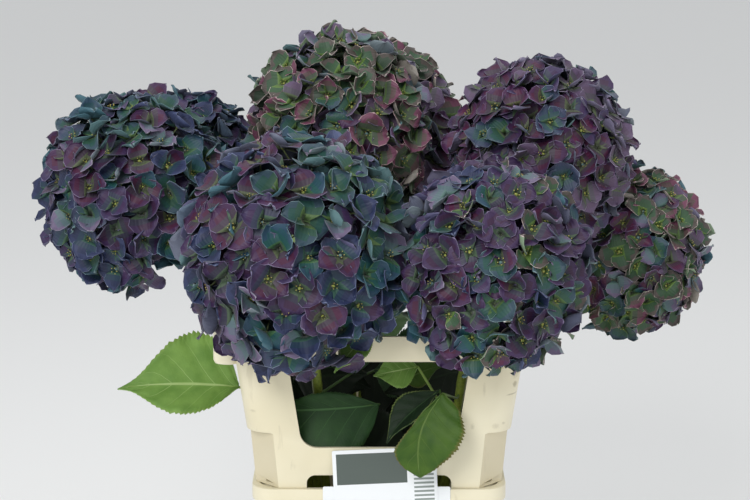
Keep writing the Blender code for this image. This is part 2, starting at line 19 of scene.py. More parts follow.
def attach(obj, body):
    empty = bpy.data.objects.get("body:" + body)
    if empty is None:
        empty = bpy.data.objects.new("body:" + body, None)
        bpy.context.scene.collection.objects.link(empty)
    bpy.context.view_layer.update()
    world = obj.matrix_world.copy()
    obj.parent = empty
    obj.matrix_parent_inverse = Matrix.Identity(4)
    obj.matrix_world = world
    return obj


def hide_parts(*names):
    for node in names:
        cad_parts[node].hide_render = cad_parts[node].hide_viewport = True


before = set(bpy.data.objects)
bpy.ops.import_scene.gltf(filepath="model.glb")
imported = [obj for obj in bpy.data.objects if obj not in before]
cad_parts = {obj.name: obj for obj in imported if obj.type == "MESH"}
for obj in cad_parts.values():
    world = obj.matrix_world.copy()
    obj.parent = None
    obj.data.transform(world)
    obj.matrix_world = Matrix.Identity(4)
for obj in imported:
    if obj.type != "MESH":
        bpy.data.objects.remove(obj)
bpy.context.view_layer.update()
UP = Vector((0, 0, 1))
print("nodes in the frame:", len(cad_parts))

# %% [markdown]
# Some small helpers come first. Every operator acts on all that is selected, and the frame's own
# nodes are selected after loading, so each step starts from an empty selection. Colours are
# written as hex values, as a paint chart gives them, and one function turns them to linear light.
# One function adds a shader node with its settings and links.

# %% Helpers for selection, colours and nodes
# Where a colour Mix node keeps its two colours and its result
MIX_FIRST = 6
MIX_SECOND = 7
MIX_RESULT = 2


def select_none():
    """Leaves edit mode and leaves nothing selected."""
    if bpy.context.object and bpy.context.object.mode != "OBJECT":
        bpy.ops.object.mode_set(mode="OBJECT")
    bpy.ops.object.select_all(action="DESELECT")


def select_only(obj):
    """Makes one object the active and only selected one."""
    select_none()
    obj.select_set(True)
    bpy.context.view_layer.objects.active = obj


def unselect(work):
    """Leaves nothing selected in an edit mesh."""
    for item in (*work.verts, *work.edges, *work.faces):
        item.select = False


def linear(code):
    """A hex colour such as "e6dfc0" as linear red, green and blue."""
    parts = [int(code[i : i + 2], 16) / 255 for i in (0, 2, 4)]
    return [c / 12.92 if c <= 0.04045 else ((c + 0.055) / 1.055) ** 2.4 for c in parts]


def add(finish, kind, inputs=None, **settings):
    """Adds a node. An input given as a socket is linked, and any other value is set on it."""
    node = finish.node_tree.nodes.new(kind)
    for name, value in settings.items():
        setattr(node, name, value)
    for name, value in (inputs or {}).items():
        if isinstance(value, bpy.types.NodeSocket):
            finish.node_tree.links.new(value, node.inputs[name])
        else:
            node.inputs[name].default_value = value
    return node


def plain(name, colour, roughness, ior=1.45, **more):
    """A finish with one base colour, for the many small pieces whose colours have a place."""
    made = bpy.data.materials.new(name)
    made.use_nodes = True
    shader = made.node_tree.nodes["Principled BSDF"]
    shader.inputs["Base Color"].default_value = (*colour, 1)
    shader.inputs["Roughness"].default_value = roughness
    shader.inputs["IOR"].default_value = ior
    for socket, value in more.items():
        shader.inputs[socket.replace("_", " ")].default_value = value
    return made


def link(finish, output, socket):
    """Links a node's output to an input of the finish's own shader."""
    finish.node_tree.links.new(output, finish.node_tree.nodes["Principled BSDF"].inputs[socket])


def colour_stops(ramp, places, codes):
    """Sets the two stops of a colour ramp."""
    for stop, place, code in zip(ramp.color_ramp.elements, places, codes):
        stop.position = place
        stop.color = (*linear(code), 1)


def dress(obj, slot, *nodes):
    """The piece rides on the frame's one body and stands for these nodes; slot is not used."""
    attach(obj, "root")
    if nodes:
        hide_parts(*nodes)
    return obj


print("helpers ready")

# %% [markdown]
# The camera stands where the photographer stood: about two metres in front, looking down by 12
# degrees with a long lens, so that the tub's foot is below the frame. The pale studio floor runs
# on behind the tub as far as the camera sees, and shades off as it leaves the lamps.

# %% Camera
CAMERA_PLACE = Vector((-0.0037, -2.0580, 0.91827))
CAMERA_AIM = Vector((-0.0037, -0.0039, 0.48165))
CAMERA_LENS = 102.61

select_none()
bpy.ops.object.camera_add(location=CAMERA_PLACE)
camera = bpy.context.object
camera.name = "camera"
camera.rotation_euler = (CAMERA_AIM - CAMERA_PLACE).to_track_quat("-Z", "Y").to_euler()
camera.data.lens = CAMERA_LENS
bpy.context.scene.camera = camera
print("camera is", round((CAMERA_AIM - CAMERA_PLACE).length, 2), "m from what it looks at")

# %% Studio floor
FLOOR_SIZE = 90.0

paper = plain("matt_floor_paper", linear("efefee"), 0.95)
select_none()
bpy.ops.mesh.primitive_plane_add(size=FLOOR_SIZE)
floor = bpy.context.object
floor.name = "studio_floor"
floor.data.materials.append(paper)
print("floor is", FLOOR_SIZE, "m wide")

# %% [markdown]
# The light is a plain soft studio light: a large key lamp at the upper left, a broad fill from
# the right, a lamp overhead for the crowns of the blooms, and a pale world that opens the
# shadows. The view transform is Standard, so a colour shows as it is written.

# %% Lights
LAMP_AIM = Vector((0, 0, 0.45))
SKY_STRENGTH = 0.72
# Each lamp's place, its width in metres and its power in watts
LAMPS = {
    "key": ((-1.0, -2.5, 2.1), 1.4, 46.0),
    "fill": ((2.2, -1.6, 1.2), 1.6, 5.0),
    "top": ((0.1, 0.2, 2.6), 1.5, 12.0),
}
for name, (place, width, power) in LAMPS.items():
    select_none()
    bpy.ops.object.light_add(type="AREA", location=place)
    lamp = bpy.context.object
    lamp.name = "lamp_" + name
    lamp.data.shape = "DISK"
    lamp.data.size = width
    lamp.data.energy = power
    lamp.rotation_euler = (LAMP_AIM - Vector(place)).to_track_quat("-Z", "Y").to_euler()

sky = bpy.data.worlds.new("pale_studio")
bpy.context.scene.world = sky
sky.use_nodes = True
glow = sky.node_tree.nodes["Background"]
glow.inputs["Color"].default_value = (*linear("f4f6f8"), 1)
glow.inputs["Strength"].default_value = SKY_STRENGTH
bpy.context.scene.view_settings.view_transform = "Standard"
print("lamps:", ", ".join(LAMPS))

# %% [markdown]
# The tub and collar are injection-moulded polypropylene, cream, used many times over. Moulding
# gives a satin skin with a faint orange peel, and stacking leaves grey scuffs. The colour is two
# close creams that drift over about 100 mm, dulled where thin scuffs cross it.

# %% Cream polypropylene
PEEL_PER_METRE = 900.0
DRIFT_PER_METRE = 9.0
DRIFT_RANGE = (0.35, 0.65)
SCUFFS_PER_METRE = 70.0
SCUFF_STRETCH = (1.0, 1.0, 0.35)
SCUFF_TURN = (0.2, 0.5, 0.3)
SCUFF_FROM = 0.66
SCUFF_FULL = 0.74
SCUFF_DULL = 0.16
MARK_GRAIN = 700.0
MARK_EDGE = 1.7
MARK_CORE = 0.9

# Marks on the front of the right corner post: place, half sizes and how dark
MARKS = (
    ((0.1250, -0.170, 0.4028), (0.0036, 0.030, 0.0052), 0.34),
    ((0.1244, -0.170, 0.3914), (0.0022, 0.030, 0.0034), 0.60),
    ((0.1220, -0.170, 0.3818), (0.0060, 0.030, 0.0009), 0.50),
    ((0.0860, -0.182, 0.3512), (0.0022, 0.020, 0.0036), 0.30),
    ((0.1073, -0.178, 0.3512), (0.0040, 0.020, 0.0032), 0.26),
    ((0.1147, -0.174, 0.3535), (0.0018, 0.020, 0.0016), 0.34),
    ((0.0960, -0.182, 0.3880), (0.0014, 0.020, 0.0070), 0.22),
    ((-0.1160, -0.176, 0.3660), (0.0030, 0.020, 0.0016), 0.26),
)


def cream_plastic(name, dark, light, marks):
    """Moulded cream plastic: two creams that drift, thin scuffs, and marks at their own places."""
    made = plain(name, linear(light), 0.42, 1.49)
    where = add(made, "ShaderNodeTexCoord").outputs["Object"]
    drift = add(made, "ShaderNodeTexNoise", {"Vector": where, "Scale": DRIFT_PER_METRE, "Detail": 3.0})
    drift_ramp = add(made, "ShaderNodeValToRGB", {"Fac": drift.outputs["Fac"]})
    colour_stops(drift_ramp, DRIFT_RANGE, (dark, light))
    stretched_out = {"Vector": where, "Scale": SCUFF_STRETCH, "Rotation": SCUFF_TURN}
    stretch = add(made, "ShaderNodeMapping", stretched_out)
    scuff = add(
        made,
        "ShaderNodeTexNoise",
        {"Vector": stretch.outputs["Vector"], "Scale": SCUFFS_PER_METRE, "Detail": 6.0, "Distortion": 0.9},
    )
    worn = add(
        made,
        "ShaderNodeMapRange",
        {"Value": scuff.outputs["Fac"], 1: SCUFF_FROM, 2: SCUFF_FULL, 3: 0.0, 4: SCUFF_DULL},
    )
    grime = worn.outputs["Result"]
    broken = add(made, "ShaderNodeTexNoise", {"Vector": where, "Scale": MARK_GRAIN, "Detail": 4.0})
    for place, half_sizes, strength in marks:
        offset = add(made, "ShaderNodeVectorMath", {0: where, 1: place}, operation="SUBTRACT")
        shares = add(made, "ShaderNodeVectorMath", {0: offset.outputs[0], 1: half_sizes}, operation="DIVIDE")
        far = add(made, "ShaderNodeVectorMath", {0: shares.outputs[0]}, operation="LENGTH")
        reach = {0: far.outputs["Value"], 1: broken.outputs["Fac"]}
        ragged = add(made, "ShaderNodeMath", reach, operation="ADD")
        depth = {"Value": ragged.outputs[0], 1: MARK_EDGE, 2: MARK_CORE, 3: 0.0, 4: strength}
        mark = add(made, "ShaderNodeMapRange", depth)
        both = add(made, "ShaderNodeMath", {0: grime, 1: mark.outputs["Result"]}, operation="MAXIMUM")
        grime = both.outputs[0]
    dulled = add(made, "ShaderNodeMix", {"Factor": grime}, data_type="RGBA")
    made.node_tree.links.new(drift_ramp.outputs["Color"], dulled.inputs[MIX_FIRST])
    dulled.inputs[MIX_SECOND].default_value = (*linear("8f8566"), 1)
    link(made, dulled.outputs[MIX_RESULT], "Base Color")
    peel = add(made, "ShaderNodeTexNoise", {"Vector": where, "Scale": PEEL_PER_METRE, "Detail": 2.0})
    bump = add(made, "ShaderNodeBump", {"Height": peel.outputs["Fac"], "Strength": 0.10, "Distance": 0.0004})
    link(made, bump.outputs["Normal"], "Normal")
    return made


polypropylene = cream_plastic("moulded_cream_polypropylene", "e3dabc", "efe8cf", MARKS)
# A darker cream for the flat corner panels under the shoulder: painted shade of their recess
panel_shade_polypropylene = cream_plastic("recess_shade_cream_polypropylene", "d2c8aa", "dad0b4", ())
print("made", polypropylene.name)

# %% [markdown]
# The tub and collar are walls that follow a rounded outline from one height to the next, as the
# two halves of a mould do. A circle is laid on the first outline and extruded, and each new ring
# of points is laid on the next outline. The corners of the collar's waist are cut straight, so
# an outline has a bulge: 1 gives a round corner and 0 a flat one.

# %% Outlines of the container
GAP = 0.0003
TUB_HEIGHT = 0.290
RIM_Z = 0.440
LONG_EXTRA = 0.050
WALL = 0.003
CORNER_RADIUS = 0.022
CORNER_STEPS = 8
SAME_PLACE = 1e-6
EDGE_ANGLE = 35.0


def rounded(middle, half_x, half_y, z, radius, bulge=1.0):
    """Points of a rounded rectangle at one height. bulge 1 rounds its corners, 0 cuts them."""
    points = []
    for turn, (side_x, side_y) in enumerate(((1, 1), (-1, 1), (-1, -1), (1, -1))):
        centre = Vector((middle + side_x * (half_x - radius), side_y * (half_y - radius), z))
        start = turn * math.pi / 2
        first = Vector((math.cos(start), math.sin(start), 0)) * radius
        last = Vector((math.cos(start + math.pi / 2), math.sin(start + math.pi / 2), 0)) * radius
        for step in range(CORNER_STEPS + 1):
            share = step / CORNER_STEPS
            angle = start + share * math.pi / 2
            arc = Vector((math.cos(angle), math.sin(angle), 0)) * radius
            points.append(centre + first.lerp(last, share).lerp(arc, bulge))
    return points


def ring(half, z, bulge=1.0, extra=LONG_EXTRA):
    """The container's own outline: half is its half width across X."""
    return rounded(0.0, half, half + extra, z, CORNER_RADIUS, bulge)


def pick(work, points):
    """Selects the points of an edit mesh that lie on these places, and the edges between them."""
    unselect(work)
    for vertex in work.verts:
        vertex.select = any((vertex.co - point).length < SAME_PLACE for point in points)
    for edge in work.edges:
        edge.select = all(vertex.select for vertex in edge.verts)


def face_outwards():
    """Turns all faces of the edit mesh outwards and leaves edit mode."""
    bpy.ops.mesh.select_all(action="SELECT")
    bpy.ops.mesh.normals_make_consistent(inside=False)
    bpy.ops.object.mode_set(mode="OBJECT")


def loft(name, rings, closed):
    """A wall through rings of points. closed joins the last ring to the first, or both ends are capped."""
    select_none()
    bpy.ops.mesh.primitive_circle_add(vertices=len(rings[0]))
    made = bpy.context.object
    made.name = name
    for vertex, point in zip(made.data.vertices, rings[0]):
        vertex.co = point
    bpy.ops.object.mode_set(mode="EDIT")
    for low, high in zip(rings, rings[1:]):
        bpy.ops.mesh.extrude_region_move()
        work = bmesh.from_edit_mesh(made.data)
        for vertex in work.verts:
            if vertex.select:
                nearest = min(range(len(low)), key=lambda i: (vertex.co - low[i]).length_squared)
                vertex.co = high[nearest]
        bmesh.update_edit_mesh(made.data)
    work = bmesh.from_edit_mesh(made.data)
    if closed:
        pick(work, rings[0] + rings[-1])
        bmesh.update_edit_mesh(made.data)
        bpy.ops.mesh.bridge_edge_loops()
    else:
        for end in (rings[0], rings[-1]):
            pick(work, end)
            bmesh.update_edit_mesh(made.data)
            bpy.ops.mesh.edge_face_add()
            work = bmesh.from_edit_mesh(made.data)
    face_outwards()
    return made


def apply_all(obj):
    """Applies every modifier of the object in turn."""
    select_only(obj)
    for modifier in list(obj.modifiers):
        bpy.ops.object.modifier_apply(modifier=modifier.name)


def soften(obj, width):
    """Rounds the hard edges a little, as every moulded edge is, and shades the rest smooth."""
    bevel = obj.modifiers.new("soft edges", "BEVEL")
    bevel.width = width
    bevel.segments = 2
    bevel.limit_method = "ANGLE"
    bevel.angle_limit = math.radians(EDGE_ANGLE)
    bevel.use_clamp_overlap = True
    apply_all(obj)
    bpy.ops.object.shade_smooth_by_angle(angle=math.radians(EDGE_ANGLE))


print("an outline has", len(ring(0.1, 0)), "points")

# %% [markdown]
# The tub tapers so that empty ones nest. It has a chamfered foot, a small step two thirds of the
# way up where one nested tub rests in the next, and a thickened lip.

# %% Tub
TUB_FOOT_HALF = 0.100
TUB_FOOT_CHAMFER = 0.006
TUB_STEP_Z = 0.205
TUB_STEP_HALF = 0.109
TUB_STEP_OUT = 0.0035
TUB_STEP_RISE = 0.006
TUB_TOP_HALF = 0.1150
TUB_LIP_HALF = 0.1185
TUB_LIP_DROP = 0.014
TUB_EDGE = 0.0008

step_top = TUB_STEP_Z + TUB_STEP_RISE
lip_z = TUB_HEIGHT - TUB_LIP_DROP
tub = loft(
    "tub_moulded",
    [
        ring(TUB_FOOT_HALF - TUB_FOOT_CHAMFER, 0.0),
        ring(TUB_FOOT_HALF, TUB_FOOT_CHAMFER),
        ring(TUB_STEP_HALF, TUB_STEP_Z),
        ring(TUB_STEP_HALF + TUB_STEP_OUT, step_top),
        ring(TUB_TOP_HALF, lip_z),
        ring(TUB_LIP_HALF, lip_z),
        ring(TUB_LIP_HALF, TUB_HEIGHT),
        ring(TUB_TOP_HALF - WALL, TUB_HEIGHT),
        ring(TUB_TOP_HALF - WALL, lip_z - WALL),
        ring(TUB_STEP_HALF + TUB_STEP_OUT - WALL, step_top),
        ring(TUB_STEP_HALF - WALL, TUB_STEP_Z),
        ring(TUB_FOOT_HALF - WALL, TUB_FOOT_CHAMFER + WALL),
        ring(TUB_FOOT_HALF - TUB_FOOT_CHAMFER - WALL, WALL),
    ],
    closed=False,
)
soften(tub, TUB_EDGE)
tub.data.materials.append(polypropylene)
dress(tub, "container", "tub")
print("tub has", len(tub.data.polygons), "faces")

# %% [markdown]
# The collar flares up from the tub's rim. Its skirt plugs into the tub. Above the waist, with its
# flat corners, a shoulder steps out, and the walls lean outwards to the rim. A ledge runs along
# each long side to carry it by. The windows and the finger slots are cut with a Boolean, as the
# mould's side cores would leave them, and the flat corner panels end in a slanting edge over a
# small slit.

# %% Collar
COLLAR_WAIST_HALF = 0.1195
COLLAR_SHOULDER_HALF = 0.1228
COLLAR_TOP_HALF = 0.1355
WAIST_LONG_EXTRA = 0.0500
SHOULDER_LONG_EXTRA = 0.0468
SKIRT_DEPTH = 0.014
SKIRT_CLEARANCE = 0.0008
SKIRT_TAPER = 0.0006
WAIST_Z = TUB_HEIGHT + 0.0535
SHOULDER_Z = TUB_HEIGHT + 0.0550
LEDGE_Z = TUB_HEIGHT + 0.118
LEDGE_OUTER = 0.1520
LEDGE_HALF_LENGTH = 0.168
LEDGE_CORNER = 0.008
LEDGE_EDGE = 0.0045
LEDGE_ROUND = 0.0013
LEDGE_TOP_ROUND = 0.0014
SKIRT_BULGE = 0.6


def wall_half(z):
    """Half the collar's width outside, at a height above its shoulder."""
    share = (z - SHOULDER_Z) / (RIM_Z - SHOULDER_Z)
    return COLLAR_SHOULDER_HALF + (COLLAR_TOP_HALF - COLLAR_SHOULDER_HALF) * share


def ledge_outline(side, outer, half_y, z, inset):
    """The ledge's outline at one height, from inside the collar's wall to outer, drawn in by inset."""
    inner = wall_half(z) - WALL / 2 + inset
    outer -= inset
    middle = side * (inner + outer) / 2
    return rounded(middle, (outer - inner) / 2, half_y - inset, z, LEDGE_CORNER - inset)


def ledge(side):
    """An upturned tray whose inner wall is sunk in the collar's wall."""
    low_outer, low_half = LEDGE_OUTER - LEDGE_EDGE, LEDGE_HALF_LENGTH - LEDGE_EDGE
    mid_outer, mid_half = LEDGE_OUTER - LEDGE_ROUND, LEDGE_HALF_LENGTH - LEDGE_ROUND
    low, high = LEDGE_Z + LEDGE_EDGE, RIM_Z - LEDGE_EDGE
    return loft(
        "ledge",
        [
            ledge_outline(side, LEDGE_OUTER, LEDGE_HALF_LENGTH, RIM_Z - WALL, WALL),
            ledge_outline(side, LEDGE_OUTER, LEDGE_HALF_LENGTH, low, WALL),
            ledge_outline(side, low_outer, low_half, LEDGE_Z, WALL),
            ledge_outline(side, low_outer, low_half, LEDGE_Z, 0.0),
            ledge_outline(side, mid_outer, mid_half, LEDGE_Z + LEDGE_ROUND, 0.0),
            ledge_outline(side, LEDGE_OUTER, LEDGE_HALF_LENGTH, low, 0.0),
            ledge_outline(side, LEDGE_OUTER, LEDGE_HALF_LENGTH, high, 0.0),
            ledge_outline(side, mid_outer, mid_half, RIM_Z - LEDGE_TOP_ROUND, 0.0),
            ledge_outline(side, low_outer, low_half, RIM_Z - GAP, 0.0),
        ],
        closed=False,
    )


def combine(obj, others, operation):
    """Joins or cuts with a Boolean, applied, and removes the other objects."""
    for other in others:
        boolean = obj.modifiers.new(operation.lower(), "BOOLEAN")
        boolean.operation = operation
        boolean.object = other
    apply_all(obj)
    for other in others:
        bpy.data.objects.remove(other, do_unlink=True)


foot_z = TUB_HEIGHT + GAP
skirt_half = TUB_TOP_HALF - WALL - SKIRT_CLEARANCE
collar = loft(
    "collar_moulded",
    [
        ring(skirt_half - SKIRT_TAPER, TUB_HEIGHT - SKIRT_DEPTH),
        ring(skirt_half, foot_z, SKIRT_BULGE),
        ring(TUB_TOP_HALF, foot_z, 0.0),
        ring(COLLAR_WAIST_HALF, WAIST_Z, 0.0, WAIST_LONG_EXTRA),
        ring(COLLAR_SHOULDER_HALF, SHOULDER_Z, 1.0, SHOULDER_LONG_EXTRA),
        ring(COLLAR_TOP_HALF, RIM_Z),
        ring(COLLAR_TOP_HALF - WALL, RIM_Z),
        ring(COLLAR_SHOULDER_HALF - WALL, SHOULDER_Z, 1.0, SHOULDER_LONG_EXTRA),
        ring(COLLAR_WAIST_HALF - WALL, WAIST_Z, 0.0, WAIST_LONG_EXTRA),
        ring(skirt_half - WALL, foot_z, SKIRT_BULGE),
        ring(skirt_half - SKIRT_TAPER - WALL, TUB_HEIGHT - SKIRT_DEPTH),
    ],
    closed=True,
)
combine(collar, [ledge(-1), ledge(1)], "UNION")
print("collar blank has", len(collar.data.polygons), "faces")

# %% Windows, finger slots and corner panels
SILL_Z = TUB_HEIGHT + 0.040
FRONT_HEAD_Z = TUB_HEIGHT + 0.1255
SIDE_HEAD_Z = LEDGE_Z - 0.006
FRONT_WINDOW_HALF = 0.083
SIDE_WINDOW_HALF = 0.118
WINDOW_TAPER = 0.012
WINDOW_CORNER = 0.014
GRIP_HALF = 0.067
GRIP_HEIGHT = 0.013
GRIP_CORNER = 0.008
GRIP_DIP = 0.002
CUT_REACH = 0.500
CUT_STEPS = 8
COLLAR_EDGE = 0.0009


def cutter(across, low, high, axis, foot_share, round_low, radius):
    """A block right through the collar along one axis, with two of its long edges rounded."""
    select_none()
    bpy.ops.mesh.primitive_cube_add(size=1, location=(0, 0, (low + high) / 2))
    block = bpy.context.object
    wide = 2 * across
    size = (CUT_REACH, wide, high - low) if axis == "X" else (wide, CUT_REACH, high - low)
    bpy.ops.transform.resize(value=size)
    bpy.ops.object.transform_apply(location=True, rotation=True, scale=True)
    bpy.ops.object.mode_set(mode="EDIT")
    work = bmesh.from_edit_mesh(block.data)
    middle = (low + high) / 2
    for vertex in work.verts:
        if vertex.co.z < middle:
            vertex.co.x *= foot_share if axis == "Y" else 1.0
            vertex.co.y *= foot_share if axis == "X" else 1.0
    along = 0 if axis == "X" else 1
    unselect(work)
    for edge in work.edges:
        first, last = (vertex.co for vertex in edge.verts)
        long_way = abs(first[along] - last[along]) > CUT_REACH / 2
        edge.select_set(long_way and (first.z < middle) == round_low)
    bmesh.update_edit_mesh(block.data)
    bpy.ops.mesh.bevel(offset=radius, segments=CUT_STEPS)
    bpy.ops.object.mode_set(mode="OBJECT")
    return block


front_share = (FRONT_WINDOW_HALF - WINDOW_TAPER) / FRONT_WINDOW_HALF
side_share = (SIDE_WINDOW_HALF - WINDOW_TAPER) / SIDE_WINDOW_HALF
windows = [
    cutter(FRONT_WINDOW_HALF, SILL_Z, FRONT_HEAD_Z, "Y", front_share, True, WINDOW_CORNER),
    cutter(SIDE_WINDOW_HALF, SILL_Z, SIDE_HEAD_Z, "X", side_share, True, WINDOW_CORNER),
    cutter(GRIP_HALF, TUB_HEIGHT - GRIP_DIP, TUB_HEIGHT + GRIP_HEIGHT, "Y", 1.0, False, GRIP_CORNER),
]
combine(collar, windows, "DIFFERENCE")
soften(collar, COLLAR_EDGE)
print("collar wall has", len(collar.data.polygons), "faces")

# %% Ends of the corner panels
PANEL_HALF_WIDTH = 0.0156
PANEL_PLACE = TUB_TOP_HALF - CORNER_RADIUS / 2
PANEL_PROUD = 0.0004
PANEL_CLEAR = 0.02
FLAT_CORNER = 0.15
UPRIGHT = 0.3
# Each cut's near end across the panel, its top and foot there, its far end, its top and foot there,
# and its depth. The ends are shares of the panel's half width, and the heights are in metres
PANEL_CUTS = {
    "recess": (-0.98, (0.2926, 0.2906), 1.35, (0.2994, 0.2906), 0.0010),
    "slit": (-0.62, (0.2936, 0.2931), 0.16, (0.2958, 0.2926), 0.0200),
}


def panel_cutter(side_x, side_y, near_end, near, far_end, far, depth):
    """A wedge that is let into a flat corner, with a (top, foot) height at each of its two ends."""
    select_none()
    bpy.ops.mesh.primitive_cube_add(size=1)
    wedge = bpy.context.object
    out = Vector((side_x, side_y, 0)).normalized()
    across = Vector((side_x, -side_y, 0)).normalized()
    middle = Vector((side_x * PANEL_PLACE, side_y * (PANEL_PLACE + LONG_EXTRA), 0)) + out * PANEL_PROUD
    for vertex in wedge.data.vertices:
        end, level = (near_end, near) if vertex.co.x < 0 else (far_end, far)
        z = level[0] if vertex.co.z > 0 else level[1]
        outward = PANEL_CLEAR if vertex.co.y > 0 else -depth
        vertex.co = middle + across * PANEL_HALF_WIDTH * end + out * outward + UP * z
    bpy.ops.object.mode_set(mode="EDIT")
    face_outwards()
    return wedge


for side_x in (-1, 1):
    for side_y in (-1, 1):
        wedges = [panel_cutter(side_x, side_y, *sizes) for sizes in PANEL_CUTS.values()]
        combine(collar, wedges, "DIFFERENCE")
select_only(collar)
bpy.ops.object.shade_smooth_by_angle(angle=math.radians(EDGE_ANGLE))
collar.data.materials.append(polypropylene)
collar.data.materials.append(panel_shade_polypropylene)
# The flat corner panels take the darker cream, painted shade for their place under the shoulder
for face in collar.data.polygons:
    flat_corner = abs(abs(face.normal.x) - abs(face.normal.y)) < FLAT_CORNER
    upright = abs(face.normal.z) < UPRIGHT
    outward = face.normal.x * face.center.x > 0
    if flat_corner and upright and outward and TUB_HEIGHT < face.center.z < WAIST_Z:
        face.material_index = 1
dress(collar, "container", "collar")
print("collar has", len(collar.data.polygons), "faces")

# %% [markdown]
# Two cards hang in front of the tub's rim: a white backing card, and a label card that stands a
# little askew. Card is paper pressed to a millimetre, so it has crisp edges and no gloss. The
# label's printed header is left as a bare grey panel, and a block of even stripes runs beside it.
# The printed areas are faces of the card itself, parted by bisecting it.

# %% Cards
CARD_MIDDLE = 0.007
CARD_WIDTH = 0.096
CARD_HEIGHT = 0.118
CARD_TOP_Z = TUB_HEIGHT + 0.040
CARD_TILT = math.radians(2.5)
BACKING_WIDTH = 0.118
BACKING_HEIGHT = 0.080
BACKING_TOP_Z = TUB_HEIGHT + 0.003
CARD_THICKNESS = 0.0010
CARD_CORNER = 0.0015
CARD_CORNER_STEPS = 3
CARD_IOR = 1.5
FIBRES_PER_METRE = 1400.0
# The printed areas on the label, from the card's middle: left, right, top and foot
HEADER = (-0.0445, 0.0205, 0.0555, 0.0258)
STRIPES = (0.0265, 0.0450, 0.0420, -0.0560)
STRIPE_PITCH = 0.0040

card_white = plain("uncoated_white_card", linear("edf0f2"), 0.75, CARD_IOR)
print_grey = plain("printed_grey_ink", linear("545e59"), 0.55, CARD_IOR)
stripe_grey = plain("printed_stripe_ink", linear("8b9490"), 0.6, CARD_IOR)
for finish in (card_white, print_grey, stripe_grey):
    where = add(finish, "ShaderNodeTexCoord").outputs["Object"]
    fibre = add(finish, "ShaderNodeTexNoise", {"Vector": where, "Scale": FIBRES_PER_METRE, "Detail": 3.0})
    nap = {"Height": fibre.outputs["Fac"], "Strength": 0.08, "Distance": 0.0003}
    bump = add(finish, "ShaderNodeBump", nap)
    link(finish, bump.outputs["Normal"], "Normal")


def bisect(spot, way):
    """Parts the faces of the edit mesh along a plane through a spot."""
    bpy.ops.mesh.select_all(action="SELECT")
    bpy.ops.mesh.bisect(plane_co=spot, plane_no=way)


def card(name, width, height, top, front, tilt, printed):
    """A card with rounded corners; printed adds the header panel and the stripes to its front."""
    select_none()
    bpy.ops.mesh.primitive_cube_add(size=1)
    made = bpy.context.object
    made.name = name
    bpy.ops.transform.resize(value=(width, CARD_THICKNESS, height))
    bpy.ops.object.transform_apply(scale=True)
    bpy.ops.object.mode_set(mode="EDIT")
    work = bmesh.from_edit_mesh(made.data)
    unselect(work)
    for edge in work.edges:
        edge.select_set(abs(edge.verts[0].co.y - edge.verts[1].co.y) > CARD_THICKNESS / 2)
    bmesh.update_edit_mesh(made.data)
    bpy.ops.mesh.bevel(offset=CARD_CORNER, segments=CARD_CORNER_STEPS)
    if printed:
        left, right, high, low = HEADER
        first, last, stripe_top, stripe_foot = STRIPES
        for x in (left, right, first, last):
            bisect((x, 0, 0), (1, 0, 0))
        for z in (high, low):
            bisect((0, 0, z), (0, 0, 1))
        for i in range(int((stripe_top - stripe_foot) / STRIPE_PITCH) * 2 + 1):
            bisect((0, 0, stripe_top - i * STRIPE_PITCH / 2), (0, 0, 1))
    bpy.ops.object.mode_set(mode="OBJECT")
    for finish in (card_white, print_grey, stripe_grey):
        made.data.materials.append(finish)
    if printed:
        for face in made.data.polygons:
            spot = face.center
            if face.normal.y > -0.5:
                continue
            if left < spot.x < right and low < spot.z < high:
                face.material_index = 1
            if first < spot.x < last and stripe_foot < spot.z < stripe_top:
                band = int((stripe_top - spot.z) / (STRIPE_PITCH / 2))
                face.material_index = 2 if band % 2 == 0 else 0
    turn = Matrix.Rotation(-tilt, 4, "Y")
    place = Matrix.Translation((CARD_MIDDLE, front + CARD_THICKNESS / 2, top - height / 2))
    made.data.transform(place @ turn)
    return made


lip_front = -(TUB_LIP_HALF + LONG_EXTRA) - GAP
backing_front = lip_front - CARD_THICKNESS
front_front = backing_front - GAP - CARD_THICKNESS
backing_size = (BACKING_WIDTH, BACKING_HEIGHT, BACKING_TOP_Z)
backing = card("card_backing_paper", *backing_size, backing_front, 0.0, False)
dress(backing, "card", "card_backing")
label = card("card_label_paper", CARD_WIDTH, CARD_HEIGHT, CARD_TOP_Z, front_front, CARD_TILT, True)
dress(label, "card", "card_front")
print("label card has", len(label.data.polygons), "faces")

# %% [markdown]
# Nine cut stems stand on the tub's floor. Each leans on the collar's rim where its bloom hangs
# past it, so its line is two curves that meet at the lean, the same rule that made the plain
# stems. The real ones are green with a woody skin: ridged lengthwise, swollen at the joints where
# the leaves were, and speckled. The ridges and joints are in the mesh.

# %% The blooms' places, and the line of each stem
TALL = 1.08
BLOOMS = {
    "left": (Vector((-0.236, -0.030, 0.545)), 0.098, Vector((-0.72, -0.25, 0.66))),
    "centre": (Vector((-0.038, 0.020, 0.598)), 0.096, Vector((-0.05, -0.20, 0.98))),
    "front_left": (Vector((-0.073, -0.196, 0.518)), 0.110, Vector((-0.20, -0.62, 0.76))),
    "right_top": (Vector((0.155, -0.030, 0.581)), 0.094, Vector((0.42, -0.28, 0.86))),
    "front_right": (Vector((0.099, -0.210, 0.509)), 0.094, Vector((0.26, -0.68, 0.69))),
    "right": (Vector((0.248, 0.035, 0.474)), 0.086, Vector((0.95, -0.12, 0.20))),
    "back": (Vector((-0.018, 0.194, 0.554)), 0.110, Vector((0.02, 0.55, 0.83))),
    "back_left": (Vector((-0.205, 0.168, 0.522)), 0.094, Vector((-0.60, 0.48, 0.64))),
    "back_right": (Vector((0.170, 0.196, 0.530)), 0.096, Vector((0.48, 0.56, 0.68))),
}
FEET = {
    "left": (-0.060, -0.020),
    "centre": (-0.014, 0.012),
    "front_left": (-0.036, -0.085),
    "right_top": (0.050, -0.020),
    "front_right": (0.034, -0.098),
    "right": (0.066, 0.040),
    "back": (-0.014, 0.092),
    "back_left": (-0.056, 0.070),
    "back_right": (0.042, 0.105),
}
